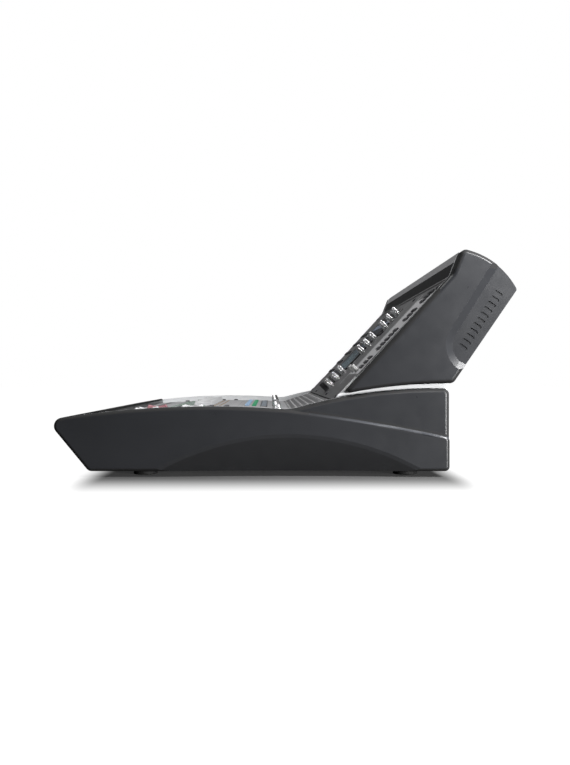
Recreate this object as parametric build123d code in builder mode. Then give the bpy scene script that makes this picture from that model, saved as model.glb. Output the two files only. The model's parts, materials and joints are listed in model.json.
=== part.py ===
"""Digital audio mixing console: a wedge-shaped desk with a raised, raked control pod.

The console faces -Y (the operator), +X is the operator's right and +Z is up. The origin is the centre of the
footprint, on the surface that the rubber feet stand on. Every length is in millimetres.
"""

import os
from math import atan2, cos, degrees, hypot, radians, sin, sqrt

from build123d import *

os.makedirs("parts", exist_ok=True)

# ---------------------------------------------------------------- driving dimensions
WIDTH = 690.0

CHEEK_THICKNESS = 22.0
FRAME_THICKNESS = 3.0
CHEEK_X = WIDTH / 2 - CHEEK_THICKNESS
FRAME_X = CHEEK_X - FRAME_THICKNESS
INSIDE = 2 * FRAME_X

SHEET = 2.0
REVEAL = 0.6
RIM_RADIUS = 6.0
FOOT_HEIGHT = 8.0
FOOT_RADIUS = 16.0

# Side outline of the desk, as (y, z) corners.
NOSE = (-309.8, 74.0)
FRONT_BOTTOM = (-255.0, 7.7)
REAR_BOTTOM = (212.7, 7.7)
REAR_TOP = (212.7, 115.0)
CREST = (-130.0, 90.8)
DIP = (6.0, 87.0)
RISE_MID = (95.0, 107.0)
NOSE_RADIUS = 11.0

# The raised body of the desk's cheek ends above in a long falling line.
SWOOSH_MID = (110.0, 72.0)
SWOOSH_END = (212.7, 52.5)
SWOOSH_STEP = 3.0

# Arched hand-hold under the cheek: a shallow cone cut about an axis below the desk.
SCOOP_CENTRE = (4.0, -294.0)
SCOOP_RADIUS = 350.0
SCOOP_DEPTH = 12.0
SCOOP_SLOPE = 4.0

# Side outline of the pod.
KNEE = (62.6, 98.6)
BEND = (216.0, 263.0)
POD_FRONT = (74.5, 107.4)
POD_TOP = (229.0, 296.2)
POD_CROWN = (269.0, 279.5)
POD_TIP = (300.8, 243.2)
POD_REAR = (217.5, 121.5)
POD_UNDER = (150.0, 118.6)

# Recess along the back of the pod's cheek.
POCKET_DEPTH = 7.0
POCKET_WALL_ANGLE = 56.0
POCKET_TOP = (281.0, 300.0)
POCKET_BEND = (214.0, 193.0)
POCKET_SIDE = (207.0, 169.0)
POCKET_FOOT = (220.0, 142.0)
POCKET_END = (246.0, 128.0)
SLOT_COUNT = 11
SLOT_FIRST = (231.0, 169.0)
SLOT_LAST = (277.0, 238.5)
SLOT_LENGTH = 12.0
SLOT_WIDTH = 3.4
SLOT_DEPTH = 1.2

# Crowned operating surface, sunk between the side frames: an arc through three points, then a rising strip
# up to the knee.
SURFACE_FRONT = (-243.0, 76.0)
SURFACE_CROWN = (-118.0, 82.2)
SURFACE_REAR = (8.0, 79.2)
PANEL_SPLIT_X = 145.0
PANEL_GAP = 0.4

# Sixteen channel strips in two banks.
STRIP_PITCH = 30.0
LEFT_STRIPS = 11
RIGHT_STRIPS = 5
LEFT_FIRST_X = -272.0
RIGHT_FIRST_X = 182.0
FADER_TRAVEL = 100.0
FADER_LOW_Y = -187.0
LOW_FADERS = (12, 15, 16)
MID_REST = 56.0
FADER_SLOT_WIDTH = 3.4
STEM_WIDTH = 2.4
STEM_LENGTH = 6.0
CAP_WIDTH = 11.5
CAP_LENGTH = 31.0
CAP_HEIGHT = 8.0
CAP_GAP = 1.3
SADDLE_DEPTH = 2.4
LISTEN_Y = -58.6
SELECT_Y = -46.6
KEY_WIDTH = 11.0
KEY_DEPTH = 7.0
KEY_CLEARANCE = 0.35
KEY_PROUD = 2.2
KEY_BELOW = 5.0
KNOB_GAP = 0.6
STRIP_KNOB_Y = -11.0
STRIP_KNOB_RADIUS = 5.4
STRIP_KNOB_HEIGHT = 13.0

# Controls on the raked panel, as (x, distance up from the knee).
PANEL_KNOB_X = 100.0
CLUSTER_S = (37.0, 110.0, 163.0)
CLUSTER_PITCH = 14.0
PANEL_KNOB_RADIUS = 5.2
PANEL_KNOB_HEIGHT = 15.0
LARGE_KNOB = (68.0, 19.0)
LARGE_KNOB_RADIUS = 9.0
LARGE_KNOB_HEIGHT = 15.0
LEVEL_KNOBS = ((226.0, 55.0), (270.0, 55.0))
LEVEL_KNOB_RADIUS = 3.9
LEVEL_KNOB_HEIGHT = 10.0
SHAFT_RADIUS = 3.0
SHAFT_BELOW = 10.0
RUNNING_CLEARANCE = 0.06
SOFT_KEY_X = 285.0
SOFT_KEY_SIZE = (30.0, 5.0)
SOFT_KEY_PITCH = 8.5
SOFT_KEY_GROUPS = ((62.0, 3), (96.0, 5), (150.0, 3), (184.0, 3))
BLOCK_KEY_S = 136.5
FUNCTION_KEY_X = (-290.0, -262.0, -234.0, -206.0)
FUNCTION_KEY_S = (60.0, 84.0, 108.0, 132.0, 156.0)
LAYER_KEY_X = (-302.0, 62.0, 88.0, 114.0)
LAYER_KEY_Y = (-190.0, -165.0, -140.0, -115.0, -90.0)

# Touch screen.
SCREEN_CENTRE = (-32.0, 112.0)
GLASS_SIZE = (212.0, 166.0)
GLASS_THICKNESS = 1.8
MODULE_SIZE = (190.0, 146.0)
MODULE_DEPTH = 12.0

# Rear panel.
REAR_Y = 209.0
REAR_PANEL_BOTTOM = 10.3
REAR_PANEL_TOP = 118.0
XLR_X = (60.0, 95.0, 130.0, 165.0)
XLR_IN_Z = 86.0
XLR_OUT_Z = 44.0
XLR_RADIUS = 11.8
XLR_MOUTH_RADIUS = 9.6
XLR_MOUTH_DEPTH = 13.0
PIN_CIRCLE_RADIUS = 5.2
JACK_XZ = (205.0, 86.0)
JACK_BORE = 3.2
NETWORK_XZ = ((-14.0, 84.0), (6.0, 84.0))
NETWORK_MOUTH = (11.8, 8.2)
USB_XZ = (-4.0, 46.0)
USB_MOUTH = (12.6, 5.2)
SOCKET_MOUTH_DEPTH = 12.0
INLET_XZ = (-120.0, 48.0)
INLET_MOUTH = (24.6, 17.0)
INLET_MOUTH_DEPTH = 17.0
ROCKER_XZ = (-120.0, 82.0)
ROCKER_TILT = 11.0
FAN_XZ = (-236.0, 62.0)
FAN_SIZE = 60.0
FAN_DEPTH = 20.0
FAN_BORE = 28.5

# Screws: one size throughout.
SCREW_RADIUS = 2.0
SCREW_HOLE = 2.2
SCREW_HEAD_RADIUS = 3.6
SCREW_HEAD_HEIGHT = 1.8
SCREW_LENGTH = 6.0
REAR_SCREWS = [(x, z) for x in (-305.0, -180.0, -60.0, 30.0, 240.0, 305.0) for z in (18.0, 110.0)]
BASE_SCREWS = [(x, y) for x in (-305.0, -100.0, 100.0, 305.0) for y in (-235.0, -20.0, 195.0)]
PANEL_SCREWS = [(x, s) for x in (-310.0, -150.0, 130.0, 310.0) for s in (8.0, 206.0)]
COVER_SCREWS = [(x, t) for x in (-305.0, -100.0, 100.0, 305.0) for t in (14.0, 128.0)]

# ---------------------------------------------------------------- worked-out geometry


def arc_height(y, first, middle, last):
    """Height at y of the circular arc through three (y, z) points."""
    (ax, az), (bx, bz), (cx, cz) = first, middle, last
    d = 2 * (ax * (bz - cz) + bx * (cz - az) + cx * (az - bz))
    a2, b2, c2 = ax * ax + az * az, bx * bx + bz * bz, cx * cx + cz * cz
    uy = (a2 * (bz - cz) + b2 * (cz - az) + c2 * (az - bz)) / d
    uz = (a2 * (cx - bx) + b2 * (ax - cx) + c2 * (bx - ax)) / d
    return uz + sqrt(hypot(ax - uy, az - uz) ** 2 - (y - uy) ** 2)


def surface_z(y):
    return arc_height(y, SURFACE_FRONT, SURFACE_CROWN, SURFACE_REAR)


STRIP_X = [LEFT_FIRST_X + STRIP_PITCH * i for i in range(LEFT_STRIPS)]
STRIP_X += [RIGHT_FIRST_X + STRIP_PITCH * i for i in range(RIGHT_STRIPS)]

FADER_HIGH_Y = FADER_LOW_Y + FADER_TRAVEL
FADER_TILT = atan2(surface_z(FADER_HIGH_Y) - surface_z(FADER_LOW_Y), FADER_TRAVEL)
FADER_MID_Z = (surface_z(FADER_LOW_Y) + surface_z(FADER_HIGH_Y)) / 2
fader_plane = Plane(
    origin=(0, (FADER_LOW_Y + FADER_HIGH_Y) / 2, FADER_MID_Z),
    x_dir=(1, 0, 0),
    z_dir=(0, -sin(FADER_TILT), cos(FADER_TILT)),
)
HALF_STROKE = FADER_TRAVEL / 2

RAKE = atan2(BEND[1] - KNEE[1], BEND[0] - KNEE[0])
RAKE_LENGTH = hypot(BEND[1] - KNEE[1], BEND[0] - KNEE[0])
raked_plane = Plane(
    origin=(0, KNEE[0] + REVEAL * sin(RAKE), KNEE[1] - REVEAL * cos(RAKE)),
    x_dir=(1, 0, 0),
    z_dir=(0, -sin(RAKE), cos(RAKE)),
)

raked_normal = Axis((0, 0, 0), (0, -sin(RAKE), cos(RAKE)))

COVER_ANGLE = atan2(POD_TIP[1] - POD_REAR[1], POD_TIP[0] - POD_REAR[0])
COVER_OUT = (sin(COVER_ANGLE), -cos(COVER_ANGLE))
cover_plane = Plane(
    origin=(0, POD_REAR[0] - REVEAL * COVER_OUT[0], POD_REAR[1] - REVEAL * COVER_OUT[1]),
    x_dir=(-1, 0, 0),
    z_dir=(0, COVER_OUT[0], COVER_OUT[1]),
)
rear_plane = Plane(origin=(0, REAR_Y, 0), x_dir=(1, 0, 0), z_dir=(0, -1, 0))

SOFT_KEYS = [
    (SOFT_KEY_X, start + SOFT_KEY_PITCH * i) for start, count in SOFT_KEY_GROUPS for i in range(count)
]
BLOCK_KEYS = [(PANEL_KNOB_X + dx, BLOCK_KEY_S) for dx in (-8.0, 8.0)]
FUNCTION_KEYS = [(x, s) for x in FUNCTION_KEY_X for s in FUNCTION_KEY_S]
RAKED_KEYS = SOFT_KEYS + BLOCK_KEYS + FUNCTION_KEYS
PANEL_KNOBS = [(PANEL_KNOB_X, s + CLUSTER_PITCH * k) for s in CLUSTER_S for k in (-1, 0, 1)]


def save(part, name):
    """Label a finished piece and write its STEP file."""
    part.label = name
    export_step(part, f"parts/{name}.step")


def round_corner(sketch, corner, radius):
    """Round the sketch's corner nearest to (y, z)."""
    fillet(sketch.vertices().sort_by_distance((corner[0], corner[1], 0))[0], radius)


def desk_outline(plane):
    """Side outline of the desk, on a plane whose axes are y and z."""
    with BuildSketch(plane) as outline:
        with BuildLine():
            Polyline(REAR_TOP, REAR_BOTTOM, FRONT_BOTTOM, NOSE)
            ThreePointArc(NOSE, CREST, DIP)
            ThreePointArc(DIP, RISE_MID, REAR_TOP)
        make_face()
        round_corner(outline, NOSE, NOSE_RADIUS)
        round_corner(outline, FRONT_BOTTOM, 8)
        round_corner(outline, REAR_BOTTOM, 6)
        round_corner(outline, REAR_TOP, 8)
        round_corner(outline, DIP, 60)
    return outline.sketch


def raised_body_outline(plane):
    """The desk outline below the falling line, where the cheek stands proud."""
    with BuildSketch(plane) as outline:
        with BuildLine():
            Polyline(SWOOSH_END, REAR_BOTTOM, FRONT_BOTTOM, NOSE)
            ThreePointArc(NOSE, CREST, DIP)
            ThreePointArc(DIP, SWOOSH_MID, SWOOSH_END)
        make_face()
        round_corner(outline, NOSE, NOSE_RADIUS)
        round_corner(outline, FRONT_BOTTOM, 8)
        round_corner(outline, REAR_BOTTOM, 6)
        round_corner(outline, SWOOSH_END, 8)
        round_corner(outline, DIP, 60)
    return outline.sketch


def pod_outline(plane):
    """Side outline of the pod."""
    with BuildSketch(plane) as outline:
        with BuildLine():
            Polyline(POD_FRONT, BEND, POD_TOP)
            ThreePointArc(POD_TOP, POD_CROWN, POD_TIP)
            Line(POD_TIP, POD_REAR)
            ThreePointArc(POD_REAR, POD_UNDER, POD_FRONT)
        make_face()
        round_corner(outline, POD_FRONT, 3)
        round_corner(outline, BEND, 12)
        round_corner(outline, POD_TOP, 8)
        round_corner(outline, POD_TIP, 4)
        round_corner(outline, POD_REAR, 9)
    return outline.sketch


# ---------------------------------------------------------------- lower cheeks
with BuildPart() as raised_layer:
    extrude(raised_body_outline(Plane.YZ.offset(CHEEK_X)), amount=CHEEK_THICKNESS)
    fillet(raised_layer.faces().sort_by(Axis.X)[-1].edges(), RIM_RADIUS - 1)

with BuildPart() as wedge_layer:
    extrude(desk_outline(Plane.YZ.offset(CHEEK_X)), amount=CHEEK_THICKNESS - SWOOSH_STEP)
    fillet(wedge_layer.faces().sort_by(Axis.X)[-1].edges(), RIM_RADIUS)

with BuildPart() as right_lower_cheek:
    add(wedge_layer.part)
    add(raised_layer.part)
    # The cone runs 2 mm past the cheek's face, where it is wider by the same slope.
    with Locations(((WIDTH / 2 + 2 - (SCOOP_DEPTH + 2) / 2), *SCOOP_CENTRE)):
        Cone(
            bottom_radius=SCOOP_RADIUS - SCOOP_SLOPE * SCOOP_DEPTH,
            top_radius=SCOOP_RADIUS + SCOOP_SLOPE * 2,
            height=SCOOP_DEPTH + 2,
            rotation=(0, 90, 0),
            mode=Mode.SUBTRACT,
        )
save(right_lower_cheek.part, "right_lower_cheek")

with BuildPart() as left_lower_cheek:
    add(mirror(right_lower_cheek.part, about=Plane.YZ))
save(left_lower_cheek.part, "left_lower_cheek")

# ---------------------------------------------------------------- pod cheeks
with BuildPart() as floor_layer:
    extrude(pod_outline(Plane.YZ.offset(CHEEK_X)), amount=CHEEK_THICKNESS - POCKET_DEPTH)
    fillet(floor_layer.faces().sort_by(Axis.X)[-1].edges(), 2.5)

with BuildPart() as pocket_tool:
    with BuildSketch(Plane.YZ.offset(WIDTH / 2)):
        with BuildLine():
            Line(POCKET_TOP, POCKET_BEND)
            ThreePointArc(POCKET_BEND, POCKET_SIDE, POCKET_FOOT)
            Polyline(POCKET_FOOT, POCKET_END, (360, 128), (360, 300), POCKET_TOP)
        make_face()
    extrude(amount=-POCKET_DEPTH, taper=POCKET_WALL_ANGLE)

with BuildPart() as full_layer:
    extrude(pod_outline(Plane.YZ.offset(CHEEK_X)), amount=CHEEK_THICKNESS)
    fillet(full_layer.faces().sort_by(Axis.X)[-1].edges(), RIM_RADIUS)
    add(pocket_tool.part, mode=Mode.SUBTRACT)

with BuildPart() as right_upper_cheek:
    add(full_layer.part)
    add(floor_layer.part)
    slot_angle = degrees(atan2(SLOT_LAST[1] - SLOT_FIRST[1], SLOT_LAST[0] - SLOT_FIRST[0]))
    with BuildSketch(Plane.YZ.offset(WIDTH / 2 - POCKET_DEPTH)):
        for i in range(SLOT_COUNT):
            f = i / (SLOT_COUNT - 1)
            y = SLOT_FIRST[0] + f * (SLOT_LAST[0] - SLOT_FIRST[0])
            z = SLOT_FIRST[1] + f * (SLOT_LAST[1] - SLOT_FIRST[1])
            with Locations((y, z)):
                SlotOverall(SLOT_LENGTH, SLOT_WIDTH, rotation=slot_angle + 90)
    extrude(amount=-SLOT_DEPTH, mode=Mode.SUBTRACT)
save(right_upper_cheek.part, "right_upper_cheek")

with BuildPart() as left_upper_cheek:
    add(mirror(right_upper_cheek.part, about=Plane.YZ))
save(left_upper_cheek.part, "left_upper_cheek")

# ---------------------------------------------------------------- side frames
with BuildPart() as right_side_frame:
    frame_plane = Plane.YZ.offset(FRAME_X)
    extrude(desk_outline(frame_plane), amount=FRAME_THICKNESS)
    extrude(pod_outline(frame_plane), amount=FRAME_THICKNESS)
    with BuildSketch(frame_plane):
        with BuildLine():
            Polyline(KNEE, (92.0, 130.1), (190.0, 126.0), (214.2, 121.0), (213.4, 110.0), (140.0, 100.0), KNEE)
        make_face()
    extrude(amount=FRAME_THICKNESS)
save(right_side_frame.part, "right_side_frame")

with BuildPart() as left_side_frame:
    add(mirror(right_side_frame.part, about=Plane.YZ))
save(left_side_frame.part, "left_side_frame")

# ---------------------------------------------------------------- operating surface
SPLIT_LOW = PANEL_SPLIT_X - PANEL_GAP / 2
SPLIT_HIGH = PANEL_SPLIT_X + PANEL_GAP / 2
KNEE_EDGE = (KNEE[0] + REVEAL * sin(RAKE), KNEE[1] - REVEAL)


def drop(point):
    """A (y, z) point moved down by the sheet's thickness."""
    return (point[0], point[1] - SHEET)


def surface_profile(plane):
    """Section of the bent sheet: a crowned face, then a rising strip at the back."""
    with BuildSketch(plane) as profile:
        with BuildLine():
            ThreePointArc(SURFACE_FRONT, SURFACE_CROWN, SURFACE_REAR)
            Polyline(SURFACE_REAR, KNEE_EDGE, drop(KNEE_EDGE), drop(SURFACE_REAR))
            ThreePointArc(drop(SURFACE_REAR), drop(SURFACE_CROWN), drop(SURFACE_FRONT))
            Line(drop(SURFACE_FRONT), SURFACE_FRONT)
        make_face()
    return profile.sketch


def strip_openings(strips):
    """Each strip's fader slot, two key windows and shaft hole, drawn above the sheet."""
    with BuildSketch(Plane.XY.offset(KNEE[1])) as openings:
        for x in strips:
            with Locations((x, (FADER_LOW_Y + FADER_HIGH_Y) / 2)):
                SlotOverall(FADER_TRAVEL + STEM_LENGTH + 4, FADER_SLOT_WIDTH, rotation=90)
            with Locations((x, LISTEN_Y), (x, SELECT_Y)):
                Rectangle(KEY_WIDTH + 2 * KEY_CLEARANCE, KEY_DEPTH + 2 * KEY_CLEARANCE)
            with Locations((x, STRIP_KNOB_Y)):
                Circle(SHAFT_RADIUS + RUNNING_CLEARANCE)
    return openings.sketch


LEFT_STRIP_X = STRIP_X[:LEFT_STRIPS]
RIGHT_STRIP_X = STRIP_X[LEFT_STRIPS:]

with BuildPart() as left_surface_panel:
    extrude(surface_profile(Plane.YZ.offset(-FRAME_X)), amount=SPLIT_LOW + FRAME_X)
    extrude(strip_openings(LEFT_STRIP_X), amount=-KNEE[1] / 2, mode=Mode.SUBTRACT)
    with BuildSketch(Plane.XY.offset(KNEE[1])):
        with Locations(*[(x, y) for x in LAYER_KEY_X for y in LAYER_KEY_Y]):
            Rectangle(KEY_WIDTH + 2 * KEY_CLEARANCE, KEY_DEPTH + 2 * KEY_CLEARANCE)
    extrude(amount=-KNEE[1] / 2, mode=Mode.SUBTRACT)
save(left_surface_panel.part, "left_surface_panel")

with BuildPart() as right_surface_panel:
    extrude(surface_profile(Plane.YZ.offset(SPLIT_HIGH)), amount=FRAME_X - SPLIT_HIGH)
    extrude(strip_openings(RIGHT_STRIP_X), amount=-KNEE[1] / 2, mode=Mode.SUBTRACT)
save(right_surface_panel.part, "right_surface_panel")

# ---------------------------------------------------------------- armrest
ARMREST_WALL = 5.0
with BuildPart() as armrest:
    with BuildSketch(Plane.YZ.offset(-FRAME_X)):
        with BuildLine():
            FilletPolyline(
                (-243.4, 70.0), (-243.4, 85.4), (-308.2, 74.0), (-254.2, 10.3), (-246.0, 10.3), radius=(3.5, 10, 3)
            )
            offset(amount=ARMREST_WALL, side=Side.LEFT)
        make_face()
    extrude(amount=INSIDE)
save(armrest.part, "armrest")

# ---------------------------------------------------------------- raked control panel
BROW_FLANGE = 9.0
CONTROL_TOP = RAKE_LENGTH - BROW_FLANGE - 0.5
with BuildPart() as control_panel:
    with BuildSketch(raked_plane):
        with Locations((0, CONTROL_TOP / 2 + 0.8)):
            Rectangle(INSIDE, CONTROL_TOP - 1.6)
        with Locations(SCREEN_CENTRE):
            Rectangle(MODULE_SIZE[0] + 1, MODULE_SIZE[1] + 1, mode=Mode.SUBTRACT)
        with Locations(*PANEL_KNOBS, LARGE_KNOB, *LEVEL_KNOBS):
            Circle(SHAFT_RADIUS + RUNNING_CLEARANCE, mode=Mode.SUBTRACT)
        with Locations(*PANEL_SCREWS):
            Circle(SCREW_HOLE, mode=Mode.SUBTRACT)
        with Locations(*SOFT_KEYS):
            Rectangle(
                SOFT_KEY_SIZE[0] + 2 * KEY_CLEARANCE, SOFT_KEY_SIZE[1] + 2 * KEY_CLEARANCE, mode=Mode.SUBTRACT
            )
        with Locations(*BLOCK_KEYS, *FUNCTION_KEYS):
            Rectangle(KEY_WIDTH + 2 * KEY_CLEARANCE, KEY_DEPTH + 2 * KEY_CLEARANCE, mode=Mode.SUBTRACT)
    extrude(amount=-SHEET)
save(control_panel.part, "control_panel")

with BuildPart() as panel_keys:
    with BuildSketch(raked_plane.offset(-KEY_BELOW)):
        with Locations(*SOFT_KEYS):
            Rectangle(*SOFT_KEY_SIZE)
        with Locations(*BLOCK_KEYS, *FUNCTION_KEYS):
            Rectangle(KEY_WIDTH, KEY_DEPTH)
    extrude(amount=KEY_BELOW + KEY_PROUD)
    fillet(panel_keys.faces().group_by(raked_normal)[-1].edges(), 0.6)
save(panel_keys.part, "panel_keys")

# ---------------------------------------------------------------- touch screen
with BuildPart() as touch_screen:
    with BuildSketch(raked_plane):
        with Locations(SCREEN_CENTRE):
            RectangleRounded(*GLASS_SIZE, 5)
    extrude(amount=GLASS_THICKNESS)
    chamfer(touch_screen.faces().sort_by(raked_normal)[-1].edges(), 0.5)
save(touch_screen.part, "touch_screen")

with BuildPart() as screen_module:
    with BuildSketch(raked_plane):
        with Locations(SCREEN_CENTRE):
            Rectangle(*MODULE_SIZE)
    extrude(amount=-MODULE_DEPTH)
save(screen_module.part, "screen_module")

# ---------------------------------------------------------------- brow bar and pod cover
BROW_UP = 20.0
STEEP = atan2(POD_TOP[1] - BEND[1], POD_TOP[0] - BEND[0])
brow_foot = (
    BEND[0] - BROW_FLANGE * cos(RAKE) + REVEAL * sin(RAKE),
    BEND[1] - BROW_FLANGE * sin(RAKE) - REVEAL * cos(RAKE),
)
brow_bend = (BEND[0] + REVEAL, BEND[1] - REVEAL / 2)
brow_head = (brow_bend[0] + BROW_UP * cos(STEEP), brow_bend[1] + BROW_UP * sin(STEEP))
with BuildPart() as brow_bar:
    with BuildSketch(Plane.YZ.offset(-FRAME_X)):
        with BuildLine():
            FilletPolyline(brow_foot, brow_bend, brow_head, radius=1.5)
            offset(amount=4, side=Side.RIGHT)
        make_face()
    extrude(amount=INSIDE)
save(brow_bar.part, "brow_bar")

COVER_LIP_GAP = 0.5
cover_lip = (
    brow_bend[0] + (BROW_UP + COVER_LIP_GAP) * cos(STEEP),
    brow_bend[1] + (BROW_UP + COVER_LIP_GAP) * sin(STEEP),
)
cover_top = (POD_TOP[0] + 0.6, POD_TOP[1] - 1.6)
cover_tip = (
    POD_TIP[0] - REVEAL * COVER_OUT[0] - 1.5 * cos(COVER_ANGLE),
    POD_TIP[1] - REVEAL * COVER_OUT[1] - 1.5 * sin(COVER_ANGLE),
)
cover_crown = (POD_CROWN[0] - 0.6, POD_CROWN[1] - 1.0)
cover_foot = (
    POD_REAR[0] - REVEAL * COVER_OUT[0] + 2 * cos(COVER_ANGLE),
    POD_REAR[1] - REVEAL * COVER_OUT[1] + 2 * sin(COVER_ANGLE),
)
cover_flange = (REAR_Y + SHEET + 0.2, REAR_PANEL_TOP + 2.4)
with BuildPart() as pod_rear_cover:
    with BuildSketch(Plane.YZ.offset(-FRAME_X)):
        with BuildLine():
            Line(cover_lip, cover_top)
            ThreePointArc(cover_top, cover_crown, cover_tip)
            Polyline(cover_tip, cover_foot, cover_flange)
            offset(amount=SHEET, side=Side.RIGHT)
        make_face()
    extrude(amount=INSIDE)
    with BuildSketch(cover_plane.offset(5)):
        with Locations(*COVER_SCREWS):
            Circle(SCREW_HOLE)
        for centre_x in (-200.0, 200.0):
            with Locations((centre_x, 72.0)):
                with GridLocations(9.0, 1, 16, 1):
                    SlotOverall(52.0, 3.0, rotation=90)
    extrude(amount=-15, mode=Mode.SUBTRACT)
save(pod_rear_cover.part, "pod_rear_cover")

# ---------------------------------------------------------------- base, rear panel and feet
with BuildPart() as base_plate:
    with BuildSketch(Plane.XY.offset(FOOT_HEIGHT)):
        with Locations((0, -18.4)):
            Rectangle(INSIDE, 454.8)
        with Locations(*BASE_SCREWS):
            Circle(SCREW_HOLE, mode=Mode.SUBTRACT)
    extrude(amount=SHEET)
save(base_plate.part, "base_plate")

FEET = [(x, y) for x in (-300.0, 300.0) for y in (-187.0, 161.0)]
with BuildPart() as feet:
    with BuildSketch():
        with Locations(*FEET):
            Circle(FOOT_RADIUS)
    extrude(amount=FOOT_HEIGHT)
    fillet(feet.faces().group_by(Axis.Z)[0].edges(), 1.5)
save(feet.part, "feet")

with BuildPart() as rear_panel:
    with BuildSketch(rear_plane):
        with Locations((0, (REAR_PANEL_BOTTOM + REAR_PANEL_TOP) / 2)):
            Rectangle(INSIDE, REAR_PANEL_TOP - REAR_PANEL_BOTTOM)
        with Locations(*[(x, z) for x in XLR_X for z in (XLR_IN_Z, XLR_OUT_Z)]):
            Circle(XLR_RADIUS + 0.2, mode=Mode.SUBTRACT)
        with Locations(JACK_XZ):
            Circle(4.7, mode=Mode.SUBTRACT)
        with Locations(*NETWORK_XZ):
            Rectangle(16.2, 14.2, mode=Mode.SUBTRACT)
        with Locations(USB_XZ):
            Rectangle(15.2, 8.2, mode=Mode.SUBTRACT)
        with Locations((INLET_XZ[0], (INLET_XZ[1] + ROCKER_XZ[1]) / 2)):
            Rectangle(28.4, 62.4, mode=Mode.SUBTRACT)
        with Locations(*REAR_SCREWS):
            Circle(SCREW_HOLE, mode=Mode.SUBTRACT)
        with Locations(FAN_XZ):
            with GridLocations(5.5, 1, 9, 1):
                SlotOverall(48.0, 3.0, rotation=90, mode=Mode.SUBTRACT)
    extrude(amount=-SHEET)
save(rear_panel.part, "rear_panel")

# ---------------------------------------------------------------- rear sockets
outer_face = rear_plane.offset(-SHEET)
XLR_INNER_LENGTH = 22.0
FLANGE = 2.0
PIN_RADIUS = 1.2
PIN_ANGLES = (90.0, 210.0, 330.0)
with BuildPart() as xlr_sockets:
    with BuildSketch(outer_face.offset(-FLANGE)):
        with Locations(*[(x, z) for x in XLR_X for z in (XLR_IN_Z, XLR_OUT_Z)]):
            RectangleRounded(26.0, 31.0, 3)
    extrude(amount=FLANGE)
    with BuildSketch(outer_face):
        with Locations(*[(x, z) for x in XLR_X for z in (XLR_IN_Z, XLR_OUT_Z)]):
            Circle(XLR_RADIUS)
    extrude(amount=XLR_INNER_LENGTH)
    with BuildSketch(outer_face.offset(-FLANGE)):
        with Locations(*[(x, XLR_OUT_Z) for x in XLR_X]):
            Circle(XLR_MOUTH_RADIUS)
            with PolarLocations(PIN_CIRCLE_RADIUS, 3, start_angle=90):
                Circle(PIN_RADIUS, mode=Mode.SUBTRACT)
    extrude(amount=XLR_MOUTH_DEPTH, mode=Mode.SUBTRACT)
    with BuildSketch(outer_face.offset(-FLANGE)):
        with Locations(*[(x, XLR_IN_Z) for x in XLR_X]):
            Circle(XLR_MOUTH_RADIUS)
            Circle(XLR_MOUTH_RADIUS - 1.8, mode=Mode.SUBTRACT)
            with PolarLocations(PIN_CIRCLE_RADIUS, 3, start_angle=90):
                Circle(PIN_RADIUS + 0.2)
    extrude(amount=XLR_MOUTH_DEPTH - 3, mode=Mode.SUBTRACT)
save(xlr_sockets.part, "xlr_sockets")

with BuildPart() as data_sockets:
    with BuildSketch(outer_face.offset(-0.5)):
        with Locations(*NETWORK_XZ):
            Rectangle(15.8, 13.8)
            Rectangle(*NETWORK_MOUTH, mode=Mode.SUBTRACT)
        with Locations(USB_XZ):
            Rectangle(14.8, 7.8)
            Rectangle(*USB_MOUTH, mode=Mode.SUBTRACT)
    extrude(amount=SOCKET_MOUTH_DEPTH + 0.5)
    with BuildSketch(outer_face.offset(SOCKET_MOUTH_DEPTH)):
        with Locations(*NETWORK_XZ):
            Rectangle(15.8, 13.8)
        with Locations(USB_XZ):
            Rectangle(14.8, 7.8)
    extrude(amount=4)
    with BuildSketch(outer_face):
        with Locations(JACK_XZ):
            Circle(4.5)
    extrude(amount=12)
    with BuildSketch(outer_face.offset(-2)):
        with Locations(JACK_XZ):
            RegularPolygon(7.2, 6)
    extrude(amount=2)
    with BuildSketch(outer_face.offset(-2)):
        with Locations(JACK_XZ):
            Circle(JACK_BORE)
    extrude(amount=14, mode=Mode.SUBTRACT)
save(data_sockets.part, "data_sockets")

INLET_DEPTH = 24.0
ROCKER_MOUTH = (15.0, 22.5)
ROCKER_POCKET = 13.0
ROCKER_AXLE_Y = REAR_Y + SHEET - 5.0
ROCKER_WIDTH = 13.6
AXLE_RADIUS = 1.5
with BuildPart() as mains_inlet:
    with BuildSketch(outer_face):
        with Locations((INLET_XZ[0], (INLET_XZ[1] + ROCKER_XZ[1]) / 2)):
            Rectangle(28.0, 62.0)
    extrude(amount=INLET_DEPTH)
    with BuildSketch(outer_face.offset(-FLANGE)):
        with Locations((INLET_XZ[0], (INLET_XZ[1] + ROCKER_XZ[1]) / 2)):
            RectangleRounded(34.0, 68.0, 3)
    extrude(amount=FLANGE)
    with BuildSketch(outer_face.offset(-FLANGE)):
        with Locations(INLET_XZ):
            Rectangle(*INLET_MOUTH)
            with Locations((0, 3.5)):
                Rectangle(2.0, 4.0, mode=Mode.SUBTRACT)
            with Locations((-7.0, -2.5), (7.0, -2.5)):
                Rectangle(2.0, 4.0, mode=Mode.SUBTRACT)
    extrude(amount=INLET_MOUTH_DEPTH, mode=Mode.SUBTRACT)
    with BuildSketch(outer_face.offset(-FLANGE)):
        with Locations(ROCKER_XZ):
            Rectangle(*ROCKER_MOUTH)
    extrude(amount=ROCKER_POCKET, mode=Mode.SUBTRACT)
    with BuildSketch(Plane.YZ.offset(ROCKER_XZ[0] - ROCKER_MOUTH[0] / 2 - 3)):
        with Locations((ROCKER_AXLE_Y, ROCKER_XZ[1])):
            Circle(AXLE_RADIUS + RUNNING_CLEARANCE)
    extrude(amount=ROCKER_MOUTH[0] + 6, mode=Mode.SUBTRACT)
save(mains_inlet.part, "mains_inlet")

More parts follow.
